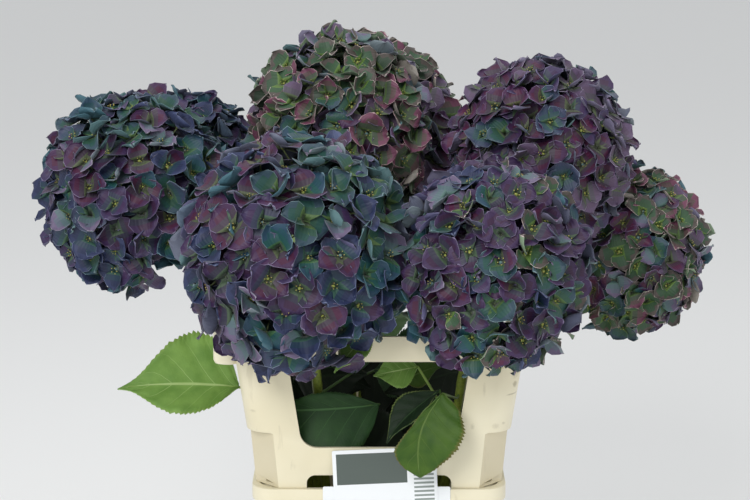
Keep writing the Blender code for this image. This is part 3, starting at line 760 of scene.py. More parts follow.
LEAN_Z = RIM_Z - 0.015
LEAN_HALF_X = 0.106
LEAN_HALF_Y = 0.140
LEAN_TURN = 0.35
STEM_FOOT_RADIUS = 0.0052
STEM_TIP_RADIUS = 0.0036
STEM_RINGS_BELOW = 36
STEM_RINGS_ABOVE = 22
CORE_UNDER = 0.42


def stretched(offset):
    """An offset from a bloom's centre, made taller as the blooms are."""
    return Vector((offset.x, offset.y, offset.z * TALL))


def head_base(name):
    """Where the stem meets the underside of its bloom, and the bloom's own axis."""
    centre, radius, lean = BLOOMS[name]
    axis = lean.normalized()
    return centre + stretched(-axis * radius * CORE_UNDER), axis


def smooth_run(start, start_way, end, end_way, steps):
    """Points of a cubic curve that leaves and arrives along the given ways."""
    third = (end - start).length / 3
    a, b, c, d = start, start + start_way * third, end - end_way * third, end
    points = []
    for step in range(steps + 1):
        share = step / steps
        rest = 1 - share
        points.append(a * rest**3 + b * 3 * rest**2 * share + c * 3 * rest * share**2 + d * share**3)
    return points


def clamp(value, half):
    """The value, held within half either side of 0."""
    return max(-half, min(half, value))


def stem_line(name):
    """The stem's centre line: up from its cut foot, past the collar's rim and into its bloom."""
    foot = Vector((*FEET[name], WALL + GAP))
    base, axis = head_base(name)
    tip = base - axis * GAP
    straight = foot.lerp(tip, (LEAN_Z - foot.z) / (tip.z - foot.z))
    lean = Vector((clamp(straight.x, LEAN_HALF_X), clamp(straight.y, LEAN_HALF_Y), LEAN_Z))
    below, above = (lean - foot).normalized(), (tip - lean).normalized()
    way = below.lerp(above, LEAN_TURN).normalized()
    rise = (below + UP).normalized()
    foot.z += STEM_FOOT_RADIUS * math.hypot(rise.x, rise.y)
    lower = smooth_run(foot, rise, lean, way, STEM_RINGS_BELOW)
    upper = smooth_run(lean, way, tip, axis, STEM_RINGS_ABOVE)
    return lower + upper[1:]


def stem_radius(share):
    """The stem's radius at a share of its length from the foot."""
    return STEM_FOOT_RADIUS + (STEM_TIP_RADIUS - STEM_FOOT_RADIUS) * share


print("longest stem:", max(round(stem_line(name)[-1].z, 3) for name in BLOOMS), "m high")

# %% Stem skin
PLANT_IOR = 1.42
SPECKS_PER_METRE = 420.0
SPECK_RANGE = (0.30, 0.55)

stem_skin = plain("green_stem_skin", linear("7c8f3c"), 0.5, PLANT_IOR)
where = add(stem_skin, "ShaderNodeTexCoord").outputs["Object"]
specks = {"Vector": where, "Scale": SPECKS_PER_METRE, "Detail": 4.0, "Roughness": 0.7}
speck = add(stem_skin, "ShaderNodeTexNoise", specks)
speck_ramp = add(stem_skin, "ShaderNodeValToRGB", {"Fac": speck.outputs["Fac"]})
colour_stops(speck_ramp, SPECK_RANGE, ("646f2c", "7f8f36"))
link(stem_skin, speck_ramp.outputs["Color"], "Base Color")
bark = {"Height": speck.outputs["Fac"], "Strength": 0.25, "Distance": 0.0006}
skin_bump = add(stem_skin, "ShaderNodeBump", bark)
link(stem_skin, skin_bump.outputs["Normal"], "Normal")
print("made", stem_skin.name)

# %% Stems
STEM_SIDES = 16
JOINT_SPACING = 0.085
JOINT_SWELL = 0.16
JOINT_SHARPNESS = 9
RIDGE = 0.05
SKIN_SHARE = 0.95
STEM_EDGE_ANGLE = 60.0


def tubes(name, lines, sides):
    """Tubes along lines, each (points, radii), from a curve that is turned to a mesh."""
    select_none()
    curve = bpy.data.curves.new(name, "CURVE")
    curve.dimensions = "3D"
    curve.bevel_depth = 1.0
    curve.bevel_resolution = sides // 2 - 2
    curve.use_fill_caps = True
    for line, radii in lines:
        spline = curve.splines.new("POLY")
        spline.points.add(len(line) - 1)
        for point, place, radius in zip(spline.points, line, radii):
            point.co = (*place, 1)
            point.radius = radius
    made = bpy.data.objects.new(name, curve)
    bpy.context.scene.collection.objects.link(made)
    select_only(made)
    bpy.ops.object.convert(target="MESH")
    return bpy.context.object


def stem(name):
    """One stem with its swollen joints and lengthwise ridges."""
    line = stem_line(name)
    length = 0.0
    radii = []
    for i, point in enumerate(line):
        length += (point - line[i - 1]).length if i else 0.0
        phase = (length % JOINT_SPACING) / JOINT_SPACING - 0.5
        swell = 1 + JOINT_SWELL * math.exp(-((phase * JOINT_SHARPNESS) ** 2))
        radii.append(stem_radius(i / (len(line) - 1)) * swell * SKIN_SHARE)
    made = tubes("stem_" + name + "_skin", [(line, radii)], STEM_SIDES)
    for i, vertex in enumerate(made.data.vertices):
        point = min(line, key=lambda place: (place - vertex.co).length_squared)
        out = vertex.co - point
        vertex.co = point + out * (1 + RIDGE * (-1 if i % 2 else 1) * 0.5)
    bpy.ops.object.shade_smooth_by_angle(angle=math.radians(STEM_EDGE_ANGLE))
    made.data.materials.append(stem_skin)
    return dress(made, "stem", "stem_" + name)


stem_faces = sum(len(stem(name).data.polygons) for name in BLOOMS)
print("stems have", stem_faces, "faces")

# %% [markdown]
# The leaves are broad and pointed, with toothed edges, folded a little along the midrib and
# arching to the tip. On the real leaf the blade swells up between the veins. A flat grid is laid
# on the leaf's outline and lifted by rule, and the vein pattern follows the grid's own UV map, so
# that every vein starts at the midrib. The stalk runs on as the midrib under the blade. Leaves in
# the shade of the blooms take darker copies of the green, as painted shade. Inside the collar some
# more leaves grow on the stems, darkened near black as painted shade for its dark inside.

# %% Leaf finishes
VEIN_SWEEP = 0.30
VEIN_BEND = 0.85
VEIN_PAIRS = 5.6
# Where a side vein, the midrib and the tinted edge begin, as shares of their spacing or of the blade
VEIN_THIN = 0.465
MIDRIB_THIN = 0.045
EDGE_THIN = 0.90
MOTTLE_PER_METRE = 55.0
MOTTLE_RANGE = (0.32, 0.68)
CELLS_PER_METRE = 330.0

# The sums that draw the veins from a leaf's UV map: what each gives, how, from which two values,
# and whether it is kept between 0 and 1
VEIN_SUMS = (
    ("off_middle", "SUBTRACT", "across", 0.5, False),
    ("half_side", "ABSOLUTE", "off_middle", 0.0, False),
    ("side", "MULTIPLY", "half_side", 2.0, False),
    ("bent", "POWER", "side", VEIN_BEND, False),
    ("sweep", "MULTIPLY", "bent", VEIN_SWEEP, False),
    ("level", "SUBTRACT", "along", "sweep", False),
    ("count", "MULTIPLY", "level", VEIN_PAIRS, False),
    ("beat", "FRACT", "count", 0.0, False),
    ("off_beat", "SUBTRACT", "beat", 0.5, False),
    ("far_beat", "ABSOLUTE", "off_beat", 0.0, False),
    ("near_vein", "SUBTRACT", "far_beat", VEIN_THIN, False),
    ("full_vein", "MULTIPLY", "near_vein", 28.0, True),
    ("inward", "SUBTRACT", 1.0, "side", False),
    ("side_vein", "MULTIPLY", "full_vein", "inward", True),
    ("near_midrib", "SUBTRACT", MIDRIB_THIN, "side", False),
    ("midrib", "MULTIPLY", "near_midrib", 40.0, True),
    ("veins", "MAXIMUM", "side_vein", "midrib", True),
    ("near_edge", "SUBTRACT", "side", EDGE_THIN, False),
    ("rim", "MULTIPLY", "near_edge", 8.0, True),
    ("cell_relief", "MULTIPLY", "cells", 0.35, False),
    ("vein_relief", "MULTIPLY", "veins", 0.8, False),
    ("relief", "SUBTRACT", "cell_relief", "vein_relief", False),
)


def leaf_finish(name, dark, light, vein, under, edge, rib):
    """A leaf's skin, with its veins and tinted edge, its underside, and the skin of its midrib."""
    made = plain(name, linear(light), 0.60, 1.38)
    uv = add(made, "ShaderNodeUVMap").outputs["UV"]
    parts = add(made, "ShaderNodeSeparateXYZ", {"Vector": uv})
    where = add(made, "ShaderNodeTexCoord").outputs["Object"]
    mottle = add(made, "ShaderNodeTexNoise", {"Vector": where, "Scale": MOTTLE_PER_METRE, "Detail": 5.0})
    cell_size = {"Vector": where, "Scale": CELLS_PER_METRE}
    cells = add(made, "ShaderNodeTexVoronoi", cell_size, feature="DISTANCE_TO_EDGE")
    values = {"across": parts.outputs["X"], "along": parts.outputs["Y"], "cells": cells.outputs["Distance"]}
    for given, operation, first, second, kept in VEIN_SUMS:
        inputs = {0: values.get(first, first), 1: values.get(second, second)}
        values[given] = add(made, "ShaderNodeMath", inputs, operation=operation, use_clamp=kept).outputs[0]
    greens = add(made, "ShaderNodeValToRGB", {"Fac": mottle.outputs["Fac"]})
    colour_stops(greens, MOTTLE_RANGE, (dark, light))
    colour = greens.outputs["Color"]
    for share, code in ((values["veins"], vein), (values["rim"], edge)):
        tinted = add(made, "ShaderNodeMix", {"Factor": share}, data_type="RGBA")
        made.node_tree.links.new(colour, tinted.inputs[MIX_FIRST])
        tinted.inputs[MIX_SECOND].default_value = (*linear(code), 1)
        colour = tinted.outputs[MIX_RESULT]
    link(made, colour, "Base Color")
    bump = add(made, "ShaderNodeBump", {"Height": values["relief"], "Strength": 0.55, "Distance": 0.0008})
    link(made, bump.outputs["Normal"], "Normal")
    back = plain(name + "_underside", linear(under), 0.62, PLANT_IOR)
    stalk = plain(name + "_rib", linear(rib), 0.5, PLANT_IOR)
    return made, back, stalk


# Lit and shaded copies of one leaf green: bright and mid for leaves in the light, and darker copies as
# painted shade for leaves in the shade of the blooms, darkest for those inside the collar
LEAF_FINISHES = {
    "bright": leaf_finish("bright_leaf_skin", "5f8438", "759848", "9db672", "8fab6c", "7d9a48", "86a052"),
    "mid": leaf_finish("mid_leaf_skin", "2e4e12", "44621a", "587032", "52703c", "746838", "5e7a3c"),
    "deep": leaf_finish("shade_darkened_leaf_skin", "1c3a1a", "274a20", "44683c", "3a5a30", "34502a", "4a6632"),
    "folded": leaf_finish("folded_leaf_skin_darkened_as_shade", "0f2210", "162e14", "294422", "203a1c", "8a9c58", "4a6632"),
    "shaded": leaf_finish("painted_deep_shade_leaf_skin", "081606", "0c1f08", "16290f", "14220f", "131f0d", "1c2a14"),
}
print("leaf finishes:", ", ".join(LEAF_FINISHES))

# %% Where each leaf grows
# Each leaf's finish, its stem, the height where it leaves it, its half width, the blade's base and
# tip, and the way its face looks
LEAVES = {
    "left_front": (
        "bright", "left", 0.345, 0.044,
        (-0.134, -0.085, 0.365), (-0.248, -0.100, 0.369), (-0.10, -0.77, 0.63),
    ),
    "left_inner": (
        "mid", "back_left", 0.330, 0.030,
        (-0.122, 0.062, 0.364), (-0.190, 0.112, 0.346), (-0.60, -0.20, 0.75),
    ),
    "window_left": (
        "deep", "front_left", 0.345, 0.035,
        (0.000, -0.138, 0.363), (-0.107, -0.135, 0.357), (0.00, -0.98, 0.20),
    ),
    "window_top": (
        "bright", "front_right", 0.350, 0.018,
        (0.036, -0.148, 0.402), (-0.005, -0.156, 0.396), (0.00, -0.88, 0.47),
    ),
    "window_fold": (
        "folded", "front_right", 0.330, 0.017,
        (0.056, -0.150, 0.380), (0.006, -0.168, 0.336), (-0.62, -0.66, 0.42),
    ),
    "window_right": (
        "mid", "front_right", 0.370, 0.036,
        (0.058, -0.183, 0.386), (0.037, -0.201, 0.312), (0.05, -0.92, 0.36),
    ),
    "window_dark": (
        "deep", "front_left", 0.370, 0.014,
        (-0.006, -0.082, 0.392), (-0.052, -0.098, 0.388), (0.00, -0.80, 0.60),
    ),
    "window_green": (
        "mid", "right_top", 0.345, 0.016,
        (0.024, -0.090, 0.372), (0.058, -0.108, 0.392), (0.10, -0.80, 0.60),
    ),
    "inner_middle": (
        "deep", "centre", 0.345, 0.038,
        (-0.004, -0.012, 0.362), (0.064, -0.052, 0.374), (0.05, -0.80, 0.60),
    ),
    "rim_front": (
        "bright", "front_left", 0.430, 0.014,
        (-0.006, -0.198, 0.450), (-0.040, -0.218, 0.416), (0.20, -0.75, 0.65),
    ),
    "right_inner": (
        "mid", "right", 0.350, 0.022,
        (0.110, 0.006, 0.376), (0.115, -0.066, 0.352), (0.85, -0.10, 0.50),
    ),
    "right_back": (
        "mid", "right", 0.385, 0.022,
        (0.136, 0.066, 0.379), (0.146, 0.138, 0.356), (0.96, 0.05, 0.25),
    ),
    "rim_right": (
        "mid", "back_right", 0.440, 0.030,
        (0.160, 0.104, 0.452), (0.214, 0.178, 0.396), (0.35, 0.25, 0.90),
    ),
    "rim_left": (
        "bright", "back_left", 0.452, 0.028,
        (-0.166, 0.096, 0.454), (-0.180, 0.184, 0.396), (-0.30, 0.25, 0.92),
    ),
    "back_rim_right": (
        "mid", "back_right", 0.440, 0.034,
        (0.064, 0.208, 0.456), (0.070, 0.310, 0.404), (0.05, 0.45, 0.88),
    ),
    "back_rim_left": (
        "bright", "back", 0.440, 0.034,
        (-0.090, 0.208, 0.456), (-0.112, 0.308, 0.410), (-0.10, 0.45, 0.88),
    ),
    "back_window": (
        "deep", "back", 0.360, 0.034,
        (-0.010, 0.184, 0.374), (0.010, 0.256, 0.312), (0.05, 0.75, 0.65),
    ),
}
SHADED_FACE = (-0.90, 0.40)
# The leaves inside the collar, near black as painted shade, have the same, without a finish and
# with only the sideways part of the way that the face looks
SHADED_LEAVES = {
    "shaded_a": ("centre", 0.330, 0.040, (-0.034, -0.022, 0.338), (-0.112, -0.058, 0.326), -0.10),
    "shaded_b": ("centre", 0.310, 0.042, (0.004, -0.030, 0.322), (0.086, -0.062, 0.318), 0.10),
    "shaded_c": ("front_left", 0.300, 0.040, (-0.036, -0.112, 0.312), (0.040, -0.104, 0.300), 0.00),
    "shaded_d": ("right_top", 0.360, 0.038, (0.080, -0.052, 0.372), (0.006, -0.072, 0.356), 0.00),
    "shaded_e": ("left", 0.350, 0.040, (-0.082, -0.056, 0.366), (-0.012, -0.064, 0.372), 0.00),
    "shaded_f": ("back", 0.330, 0.045, (-0.020, 0.090, 0.335), (0.052, 0.050, 0.322), 0.00),
    "shaded_g": ("back_left", 0.340, 0.042, (-0.070, 0.066, 0.345), (-0.010, 0.012, 0.338), 0.00),
    "shaded_h": ("back_right", 0.340, 0.042, (0.070, 0.088, 0.342), (0.014, 0.050, 0.350), 0.00),
    "shaded_i": ("right", 0.330, 0.038, (0.076, 0.006, 0.334), (0.034, -0.046, 0.306), 0.00),
    "shaded_j": ("right_top", 0.330, 0.040, (0.090, -0.062, 0.345), (0.060, -0.100, 0.290), 0.10),
}
print("leaves:", len(LEAVES), "and", len(SHADED_LEAVES), "in the shade")

# %% How a leaf is shaped
LEAF_STALK_ELBOW = 0.006
LEAF_STALK_ALONG = (0.0, 0.35, 0.7)
LEAF_THICKNESS = 0.0007
# How far the blade arches, bows sideways, folds and swells between its veins, and the leaves that
# the photograph shows otherwise
LEAF_ARCH = 0.09
LEAF_ARCHES = {"left_front": 0.03}
LEAF_BOW = 0.06
LEAF_BOWS = {"window_right": -0.30}
LEAF_FOLD = 0.22
LEAF_FOLDS = {"left_front": 0.45, "window_fold": 0.50}
QUILT = 0.0016
LEAF_QUILTS = {"left_front": 0.0036, "window_right": 0.0026}
LEAF_LEAST = 0.0006
FOLD_POWER = 1.2
RIPPLE = 0.045
RIPPLES = 11
RIPPLE_SKEW = 1.3
DROOP = 0.05
DROOP_FROM = 0.75
BLADE_ENDS = 6
RIB_SIDES = 8
RIB_UNDER = 0.0007
RIB_ALONG = (0.0, 0.08, 0.2, 0.35, 0.5, 0.65, 0.8, 0.92)
RIB_WIDTHS = (
    0.0015, 0.0014, 0.0013, 0.0013,
    0.0013, 0.0012, 0.0011, 0.0010, 0.0009, 0.0007, 0.0005, 0.0003,
)
ROWS = 104
COLUMNS = 10
TEETH = 26
TOOTH = 0.075
TOOTH_POWER = 6
OUTLINE_ALONG = (0.0, 0.05, 0.13, 0.24, 0.36, 0.47, 0.58, 0.69, 0.78, 0.85, 0.90, 0.95, 1.0)
# Half widths along the blade. The leaf at the left is broad near its stalk, the one at the left of
# the window is full on its lower side, and the label's leaf has a rounded side and a wedge-shaped one
OUTLINES = {
    "usual": (0.02, 0.15, 0.42, 0.74, 0.95, 1.00, 0.91, 0.68, 0.43, 0.25, 0.15, 0.08, 0.02),
    "broad": (0.04, 0.40, 0.74, 0.95, 1.02, 0.92, 0.75, 0.51, 0.29, 0.16, 0.10, 0.06, 0.02),
    "full": (0.04, 0.42, 0.76, 0.96, 1.02, 1.02, 0.98, 0.84, 0.62, 0.40, 0.22, 0.10, 0.02),
    "rounded": (0.02, 0.30, 0.62, 0.86, 1.05, 1.06, 0.99, 0.84, 0.64, 0.48, 0.34, 0.18, 0.02),
    "wedge": (0.02, 0.05, 0.09, 0.15, 0.20, 0.26, 0.38, 0.53, 0.63, 0.60, 0.52, 0.38, 0.02),
}
# The outline of each side and its share of the usual width, where the two sides are not alike
SIDES = {
    "left_front": (("usual", 0.90), ("broad", 1.06)),
    "window_left": (("full", 1.25), ("usual", 0.46)),
    "window_right": (("rounded", 1.00), ("wedge", 1.00)),
}
USUAL_SIDES = (("usual", 1.0), ("usual", 1.0))
print("leaf outlines:", ", ".join(OUTLINES))


# %% Leaves
def stem_at_height(name, height):
    """Where a stem's centre line passes this height, its way there, and its radius."""
    line = stem_line(name)
    for i, (low, high) in enumerate(zip(line, line[1:])):
        if low.z <= height <= high.z:
            share = (height - low.z) / (high.z - low.z)
            radius = stem_radius((i + share) / (len(line) - 1))
            return low.lerp(high, share), (high - low).normalized(), radius
    raise ValueError("stem " + name + " does not reach this height")


def leaf(name, growth, *nodes):
    """A stalk and a toothed, quilted blade with its midrib."""
    tint, stem_name, height, half, base, tip, face = growth
    dice = random.Random("leaf " + name)
    base, tip, face = Vector(base), Vector(tip), Vector(face).normalized()
    joint, way, radius = stem_at_height(stem_name, height)
    aside = base - joint
    aside -= way * aside.dot(way)
    aside.normalize()
    start = joint + aside * (radius + GAP)
    elbow = start + aside * LEAF_STALK_ELBOW
    run = tip - base
    along_way = run.normalized()
    across = face.cross(along_way).normalized()
    up = along_way.cross(across)
    across_is_up = across.z > 0
    arch = run.length * LEAF_ARCHES.get(name, LEAF_ARCH)
    bow, wave = dice.uniform(-LEAF_BOW, LEAF_BOW), dice.uniform(0, math.tau)
    bow = LEAF_BOWS.get(name, bow)
    sides = SIDES.get(name, USUAL_SIDES)
    relief = LEAF_QUILTS.get(name, QUILT)

    def middle_at(v):
        """A place on the midrib, at a share of its length."""
        rise = math.sin(math.pi * v)
        return base + run * v + face * (arch * rise) + across * (half * bow * rise)

    select_none()
    bpy.ops.mesh.primitive_grid_add(x_subdivisions=COLUMNS, y_subdivisions=ROWS, size=1, calc_uvs=True)
    blade = bpy.context.object
    blade.name = "blade"
    for vertex in blade.data.vertices:
        u, v = vertex.co.x * 2, vertex.co.y + 0.5
        outline, share = sides[0 if (u < 0) == across_is_up else 1]
        swell = share * float(np.interp(v, OUTLINE_ALONG, OUTLINES[outline]))
        beat = (v * TEETH) % 1.0
        tooth = 1 + TOOTH * (beat - 0.5) * min(1.0, BLADE_ENDS * v) * abs(u) ** TOOTH_POWER
        width = max(LEAF_LEAST, half * swell * tooth)
        fold = width * LEAF_FOLDS.get(name, LEAF_FOLD) * abs(u) ** FOLD_POWER
        ripple = math.sin(wave + v * RIPPLES + u * RIPPLE_SKEW) * RIPPLE * half * abs(u) ** 2
        pulse = (v - VEIN_SWEEP * abs(u) ** VEIN_BEND) * VEIN_PAIRS
        pillow = abs(u) * (1 - abs(u) ** 3) * min(1.0, BLADE_ENDS * (1 - v))
        quilt = relief * math.cos(math.tau * pulse) * pillow
        droop = -run.length * DROOP * (max(0.0, v - DROOP_FROM) / (1 - DROOP_FROM)) ** 2
        vertex.co = middle_at(v) + across * (u * width) + up * (fold + ripple - quilt + droop)
    solid = blade.modifiers.new("thickness", "SOLIDIFY")
    solid.thickness = LEAF_THICKNESS
    solid.offset = 0.0
    for finish in LEAF_FINISHES[tint]:
        blade.data.materials.append(finish)
    solid.material_offset = 1
    apply_all(blade)
    select_only(blade)
    bpy.ops.object.shade_smooth()

    line = [start] + [elbow.lerp(base, share) for share in LEAF_STALK_ALONG]
    line += [middle_at(v) - up * RIB_UNDER for v in RIB_ALONG]
    rib = tubes("rib", [(line, RIB_WIDTHS)], RIB_SIDES)
    bpy.ops.object.shade_smooth()
    rib.data.materials.append(LEAF_FINISHES[tint][2])
    select_none()
    rib.select_set(True)
    blade.select_set(True)
    bpy.context.view_layer.objects.active = blade
    bpy.ops.object.join()
    made = bpy.context.object
    made.name = "leaf_" + name + "_skin"
    # The two skins change places where the blade's upper side looks away from the leaf's face
    skins = [polygon for polygon in made.data.polygons if polygon.material_index < 2]
    upper = sum(skin.normal.dot(face) * skin.area for skin in skins if skin.material_index == 0)
    if upper < 0:
        for skin in skins:
            skin.material_index = 1 - skin.material_index
    return dress(made, "leaf", *nodes)


leaf_faces = 0
for name, growth in LEAVES.items():
    leaf_faces += len(leaf(name, growth, "leaf_" + name).data.polygons)
# The leaves inside the collar take the near-black finish, painted shade for the collar's dark inside
for name, (*growth, aside) in SHADED_LEAVES.items():
    leaf_faces += len(leaf(name, ("shaded", *growth, (aside, *SHADED_FACE))).data.polygons)
print("leaves have", leaf_faces, "faces")

# %% [markdown]
# A mophead bloom is a ball of small flowers, each with four broad sepals round a tiny eye. The
# plain bloom is such a ball with large florets, and the fine ones go where its rule puts them,
# with more and smaller florets in two layers. A bloom presses on its neighbours, so a flat face
# lies between two of them, and no floret goes through it or into the container. Each floret looks
# outwards and a little up, towards the light that it grew in.

# %% The rule that places florets
FLORET_SPREAD = math.radians(126)
RADIUS_JITTER = 0.05
GOLDEN_ANGLE = math.pi * (3 - math.sqrt(5))
PRESS_GAP = 0.0008
CONTAINER_CLEARANCE = 0.004
NEIGHBOUR_REACH = 0.020
PRESSES = (0.85, 0.82, 0.79, 0.75, 0.70)
OUTER_FLORETS = 116
INNER_FLORETS = 70
INNER_REACH = 0.83
FULLNESS = {"back": 1.07}
SEPAL_LENGTH = 0.214
SEPAL_MARGIN = 0.75
LOOK_UP = 0.28


def neighbours_of(name):
    """The pressed faces between this bloom and those that it leans on: a point and a normal each."""
    centre, radius, _ = BLOOMS[name]
    found = []
    for other, (their_centre, their_radius, _) in BLOOMS.items():
        between = their_centre - centre
        if other == name or between.length > radius + their_radius + NEIGHBOUR_REACH:
            continue
        reach = (between.length**2 + radius**2 - their_radius**2) / (2 * between.length)
        normal = between.normalized()
        found.append((centre + normal * (reach - PRESS_GAP), normal))
    return found


def inside_container(point, margin):
    """Whether the point is within the collar's own space, or this near to it."""
    return (
        abs(point.x) < LEDGE_OUTER + margin
        and abs(point.y) < COLLAR_TOP_HALF + LONG_EXTRA + margin
        and point.z < RIM_Z + margin
    )


def floret_places(name, count, jitter):
    """Places of the florets over a bloom: (direction, reach, turn, tilt axis, tilt), seeded by name."""
    _, radius, lean = BLOOMS[name]
    dice = random.Random("florets of " + name)
    axis = lean.normalized()
    to_axis = UP.rotation_difference(axis)
    phase = dice.uniform(0, math.tau)
    places = []
    for i in range(count):
        height = 1 - (i + 0.5) / count * (1 - math.cos(FLORET_SPREAD))
        around = phase + i * GOLDEN_ANGLE
        level = math.sqrt(1 - height * height)
        local = Vector((level * math.cos(around), level * math.sin(around), height))
        reach = radius * (1 - RADIUS_JITTER * dice.random())
        tilt_axis = Vector((dice.uniform(-1, 1), dice.uniform(-1, 1), dice.uniform(-1, 1)))
        tilt = dice.uniform(-1, 1) * jitter
        turn = dice.uniform(0, math.tau)
        places.append((to_axis @ local, reach, turn, tilt_axis.normalized(), tilt))
    return places


def seat(name, place, share):
    """Where a floret sits, the way it faces and its turn, pushed in until it fits; None if it can't."""
    centre, radius, _ = BLOOMS[name]
    direction, reach, turn, tilt_axis, tilt = place
    facing = Matrix.Rotation(tilt, 3, tilt_axis) @ (direction + UP * LOOK_UP).normalized()
    to_face = UP.rotation_difference(facing)
    span = SEPAL_LENGTH * radius * SEPAL_MARGIN
    angles = [turn + k * math.pi / 2 for k in range(4)]
    reaches = [to_face @ Vector((span * math.cos(angle), span * math.sin(angle), 0)) for angle in angles]
    for press in PRESSES:
        middle = centre + stretched(direction * reach * press * share * FULLNESS.get(name, 1.0))
        tips = [middle + out for out in reaches]
        if any(inside_container(point, CONTAINER_CLEARANCE) for point in tips):
            continue
        if all((point - face).dot(normal) < 0 for point in tips for face, normal in neighbours_of(name)):
            return middle, facing, turn
    return None


print("neighbours of the front left bloom:", len(neighbours_of("front_left")))

# %% [markdown]
# Late in the season these blooms turn: wine and violet sepals with teal or green throats, violet
# sides and pale thin rims. Each sepal takes six plain shades by place, and whole florets are dealt
# out in drifts of one colour, as on the plant. The rims, the backs and a family of pale sepals are
# light partly in their own colour and partly as painted highlight, where sepals curl or are seen
# edge on. The skin is satin with a short velvet nap, which pales where it is seen edge on.

# %% Sepal colours
SHADES = ("throat", "inner", "middle", "side", "rim", "back")
FAMILIES = {
    "wine": ("6a7656", "5c4c60", "683056", "603a6a", "9488aa", "6c7286"),
    "magenta": ("727450", "6a4862", "78325e", "6c3a6e", "9c84ac", "7a7690"),
    "violet": ("5e7c64", "505672", "5a4070", "5c4c7c", "8f86ae", "5e5c80"),
    "plum": ("587056", "48465e", "523058", "553a6c", "877a9e", "5c6076"),
    "night": ("426c5e", "33506a", "34406a", "404c7c", "7a86ac", "4c567c"),
    "teal": ("4c7c52", "2e6e6c", "2f6674", "3c6480", "7a9cac", "4a7280"),
    "slate": ("608666", "4a7078", "4e6482", "5a6488", "94a2bc", "5e7086"),
    "bluegreen": ("66884e", "42725e", "3d7068", "4c6a7c", "8aa6ac", "5e8084"),
    "green": ("789c4c", "527a54", "527658", "766c66", "e0ccc8", "869c80"),
    "pinkgreen": ("708e54", "667660", "826868", "9c5c7a", "eac4c8", "969088"),
    "moss": ("5e783e", "405a42", "445a46", "625952", "cbb8b8", "6c7c68"),
    # Pale sepals: partly their own colour, partly painted highlight for curled sepals that catch the light
    "pale": ("729690", "7c98a0", "8690a6", "9484aa", "b4a8c0", "7e8c94"),
    "mauve": ("70805e", "706878", "7c6484", "846c92", "aa9eb8", "7c7690"),
}
# The studio light is strong, so each shade is deepened by its share of linear light
DUSK = 0.45
VEIN_BANDS = 2.6
# Throats, rims and backs are deepened less. The rims and backs show paler partly in their own colour and
# partly as painted highlight where sepals curl or are seen edge on
DUSKS = {"throat": 0.54, "rim": 0.70, "back": 0.80}


def petal_finish(name, colour):
    """A sepal's skin: satin with a nap, and fine veins that fan out along it."""
    made = plain(name, colour, 0.52, PLANT_IOR, Sheen_Weight=0.12, Sheen_Roughness=0.35)
    uv = add(made, "ShaderNodeUVMap").outputs["UV"]
    veins = {"Vector": uv, "Scale": VEIN_BANDS, "Distortion": 1.4}
    fan = add(made, "ShaderNodeTexWave", veins, bands_direction="X")
    bump = add(made, "ShaderNodeBump", {"Height": fan.outputs["Fac"], "Strength": 0.25, "Distance": 0.0005})
    link(made, bump.outputs["Normal"], "Normal")
    return made


petal_finishes = []
family_start = {}
for family, shades in FAMILIES.items():
    family_start[family] = len(petal_finishes)
    for shade, code in zip(SHADES, shades):
        deepened = [c * DUSKS.get(shade, DUSK) for c in linear(code)]
        petal_finishes.append(petal_finish(family + "_sepal_" + shade, deepened))
print("sepal shades:", len(petal_finishes))

# %% Which colours each bloom has, and how common each is
PALETTES = {
    "left": {"violet": 5, "night": 5, "teal": 5, "slate": 3, "plum": 3, "bluegreen": 3, "wine": 1, "pale": 2},
    "centre": {"green": 6, "pinkgreen": 6, "moss": 5, "bluegreen": 3, "mauve": 2, "wine": 2, "pale": 2},
    "front_left": {
        "teal": 4, "violet": 5, "plum": 4, "night": 4, "slate": 3,
        "wine": 3, "bluegreen": 2, "magenta": 1, "pale": 2,
    },
    "right_top": {
        "wine": 5, "mauve": 3, "slate": 3, "violet": 4, "magenta": 3,
        "bluegreen": 2, "plum": 3, "pale": 2,
    },
    "front_right": {
        "wine": 5, "bluegreen": 4, "plum": 3, "teal": 2, "violet": 2,
        "magenta": 3, "green": 2, "night": 2, "pale": 2,
    },
    "right": {
        "pinkgreen": 3, "bluegreen": 3, "wine": 3, "green": 3, "magenta": 3,
        "teal": 2, "mauve": 1, "pale": 3,
    },
    "back": {"green": 5, "pinkgreen": 5, "mauve": 3, "wine": 3, "moss": 3},
    "back_left": {"violet": 5, "teal": 4, "plum": 3, "slate": 3, "night": 3},
    "back_right": {"wine": 4, "violet": 4, "bluegreen": 3, "mauve": 3, "plum": 3},
}
DRIFTS = 9
DRIFT_HOLD = 0.55
STRAY_SEPAL = 0.22


def deal(name, directions):
    """A colour family for each floret: florets near a drift's middle mostly share its colour."""
    dice = random.Random("colours of " + name)
    families, weights = list(PALETTES[name]), list(PALETTES[name].values())
    drifts = []
    for _ in range(DRIFTS):
        way = Vector((dice.gauss(0, 1), dice.gauss(0, 1), dice.gauss(0, 1))).normalized()
        drifts.append((way, dice.choices(families, weights)[0]))
    dealt = []
    for direction in directions:
        near = max(drifts, key=lambda drift: drift[0].dot(direction))
        own = near[1] if dice.random() < DRIFT_HOLD else dice.choices(families, weights)[0]
        dealt.append([
            own if dice.random() > STRAY_SEPAL else dice.choices(families, weights)[0]
            for _ in range(4)
        ])
    return dealt


print("palettes for", len(PALETTES), "blooms")

# %% [markdown]
# One sepal is modelled flat, as a grid with a narrow band along its edge for the pale rim, and a
# second skin under it that meets it at the edge, so that it is closed. Every copy is then bent by
# its own numbers: how far it rises, how its tip curls, how its sides cup and ruffle.

# %% The flat sepal
SEPAL_ROWS = (0.03, 0.25, 0.48, 0.72, 0.955, 1.0)
SEPAL_COLUMNS = (-1.0, -0.955, -0.5, 0.0, 0.5, 0.955, 1.0)
SEPAL_WIDE = 0.60
SEPAL_THICK = 0.022

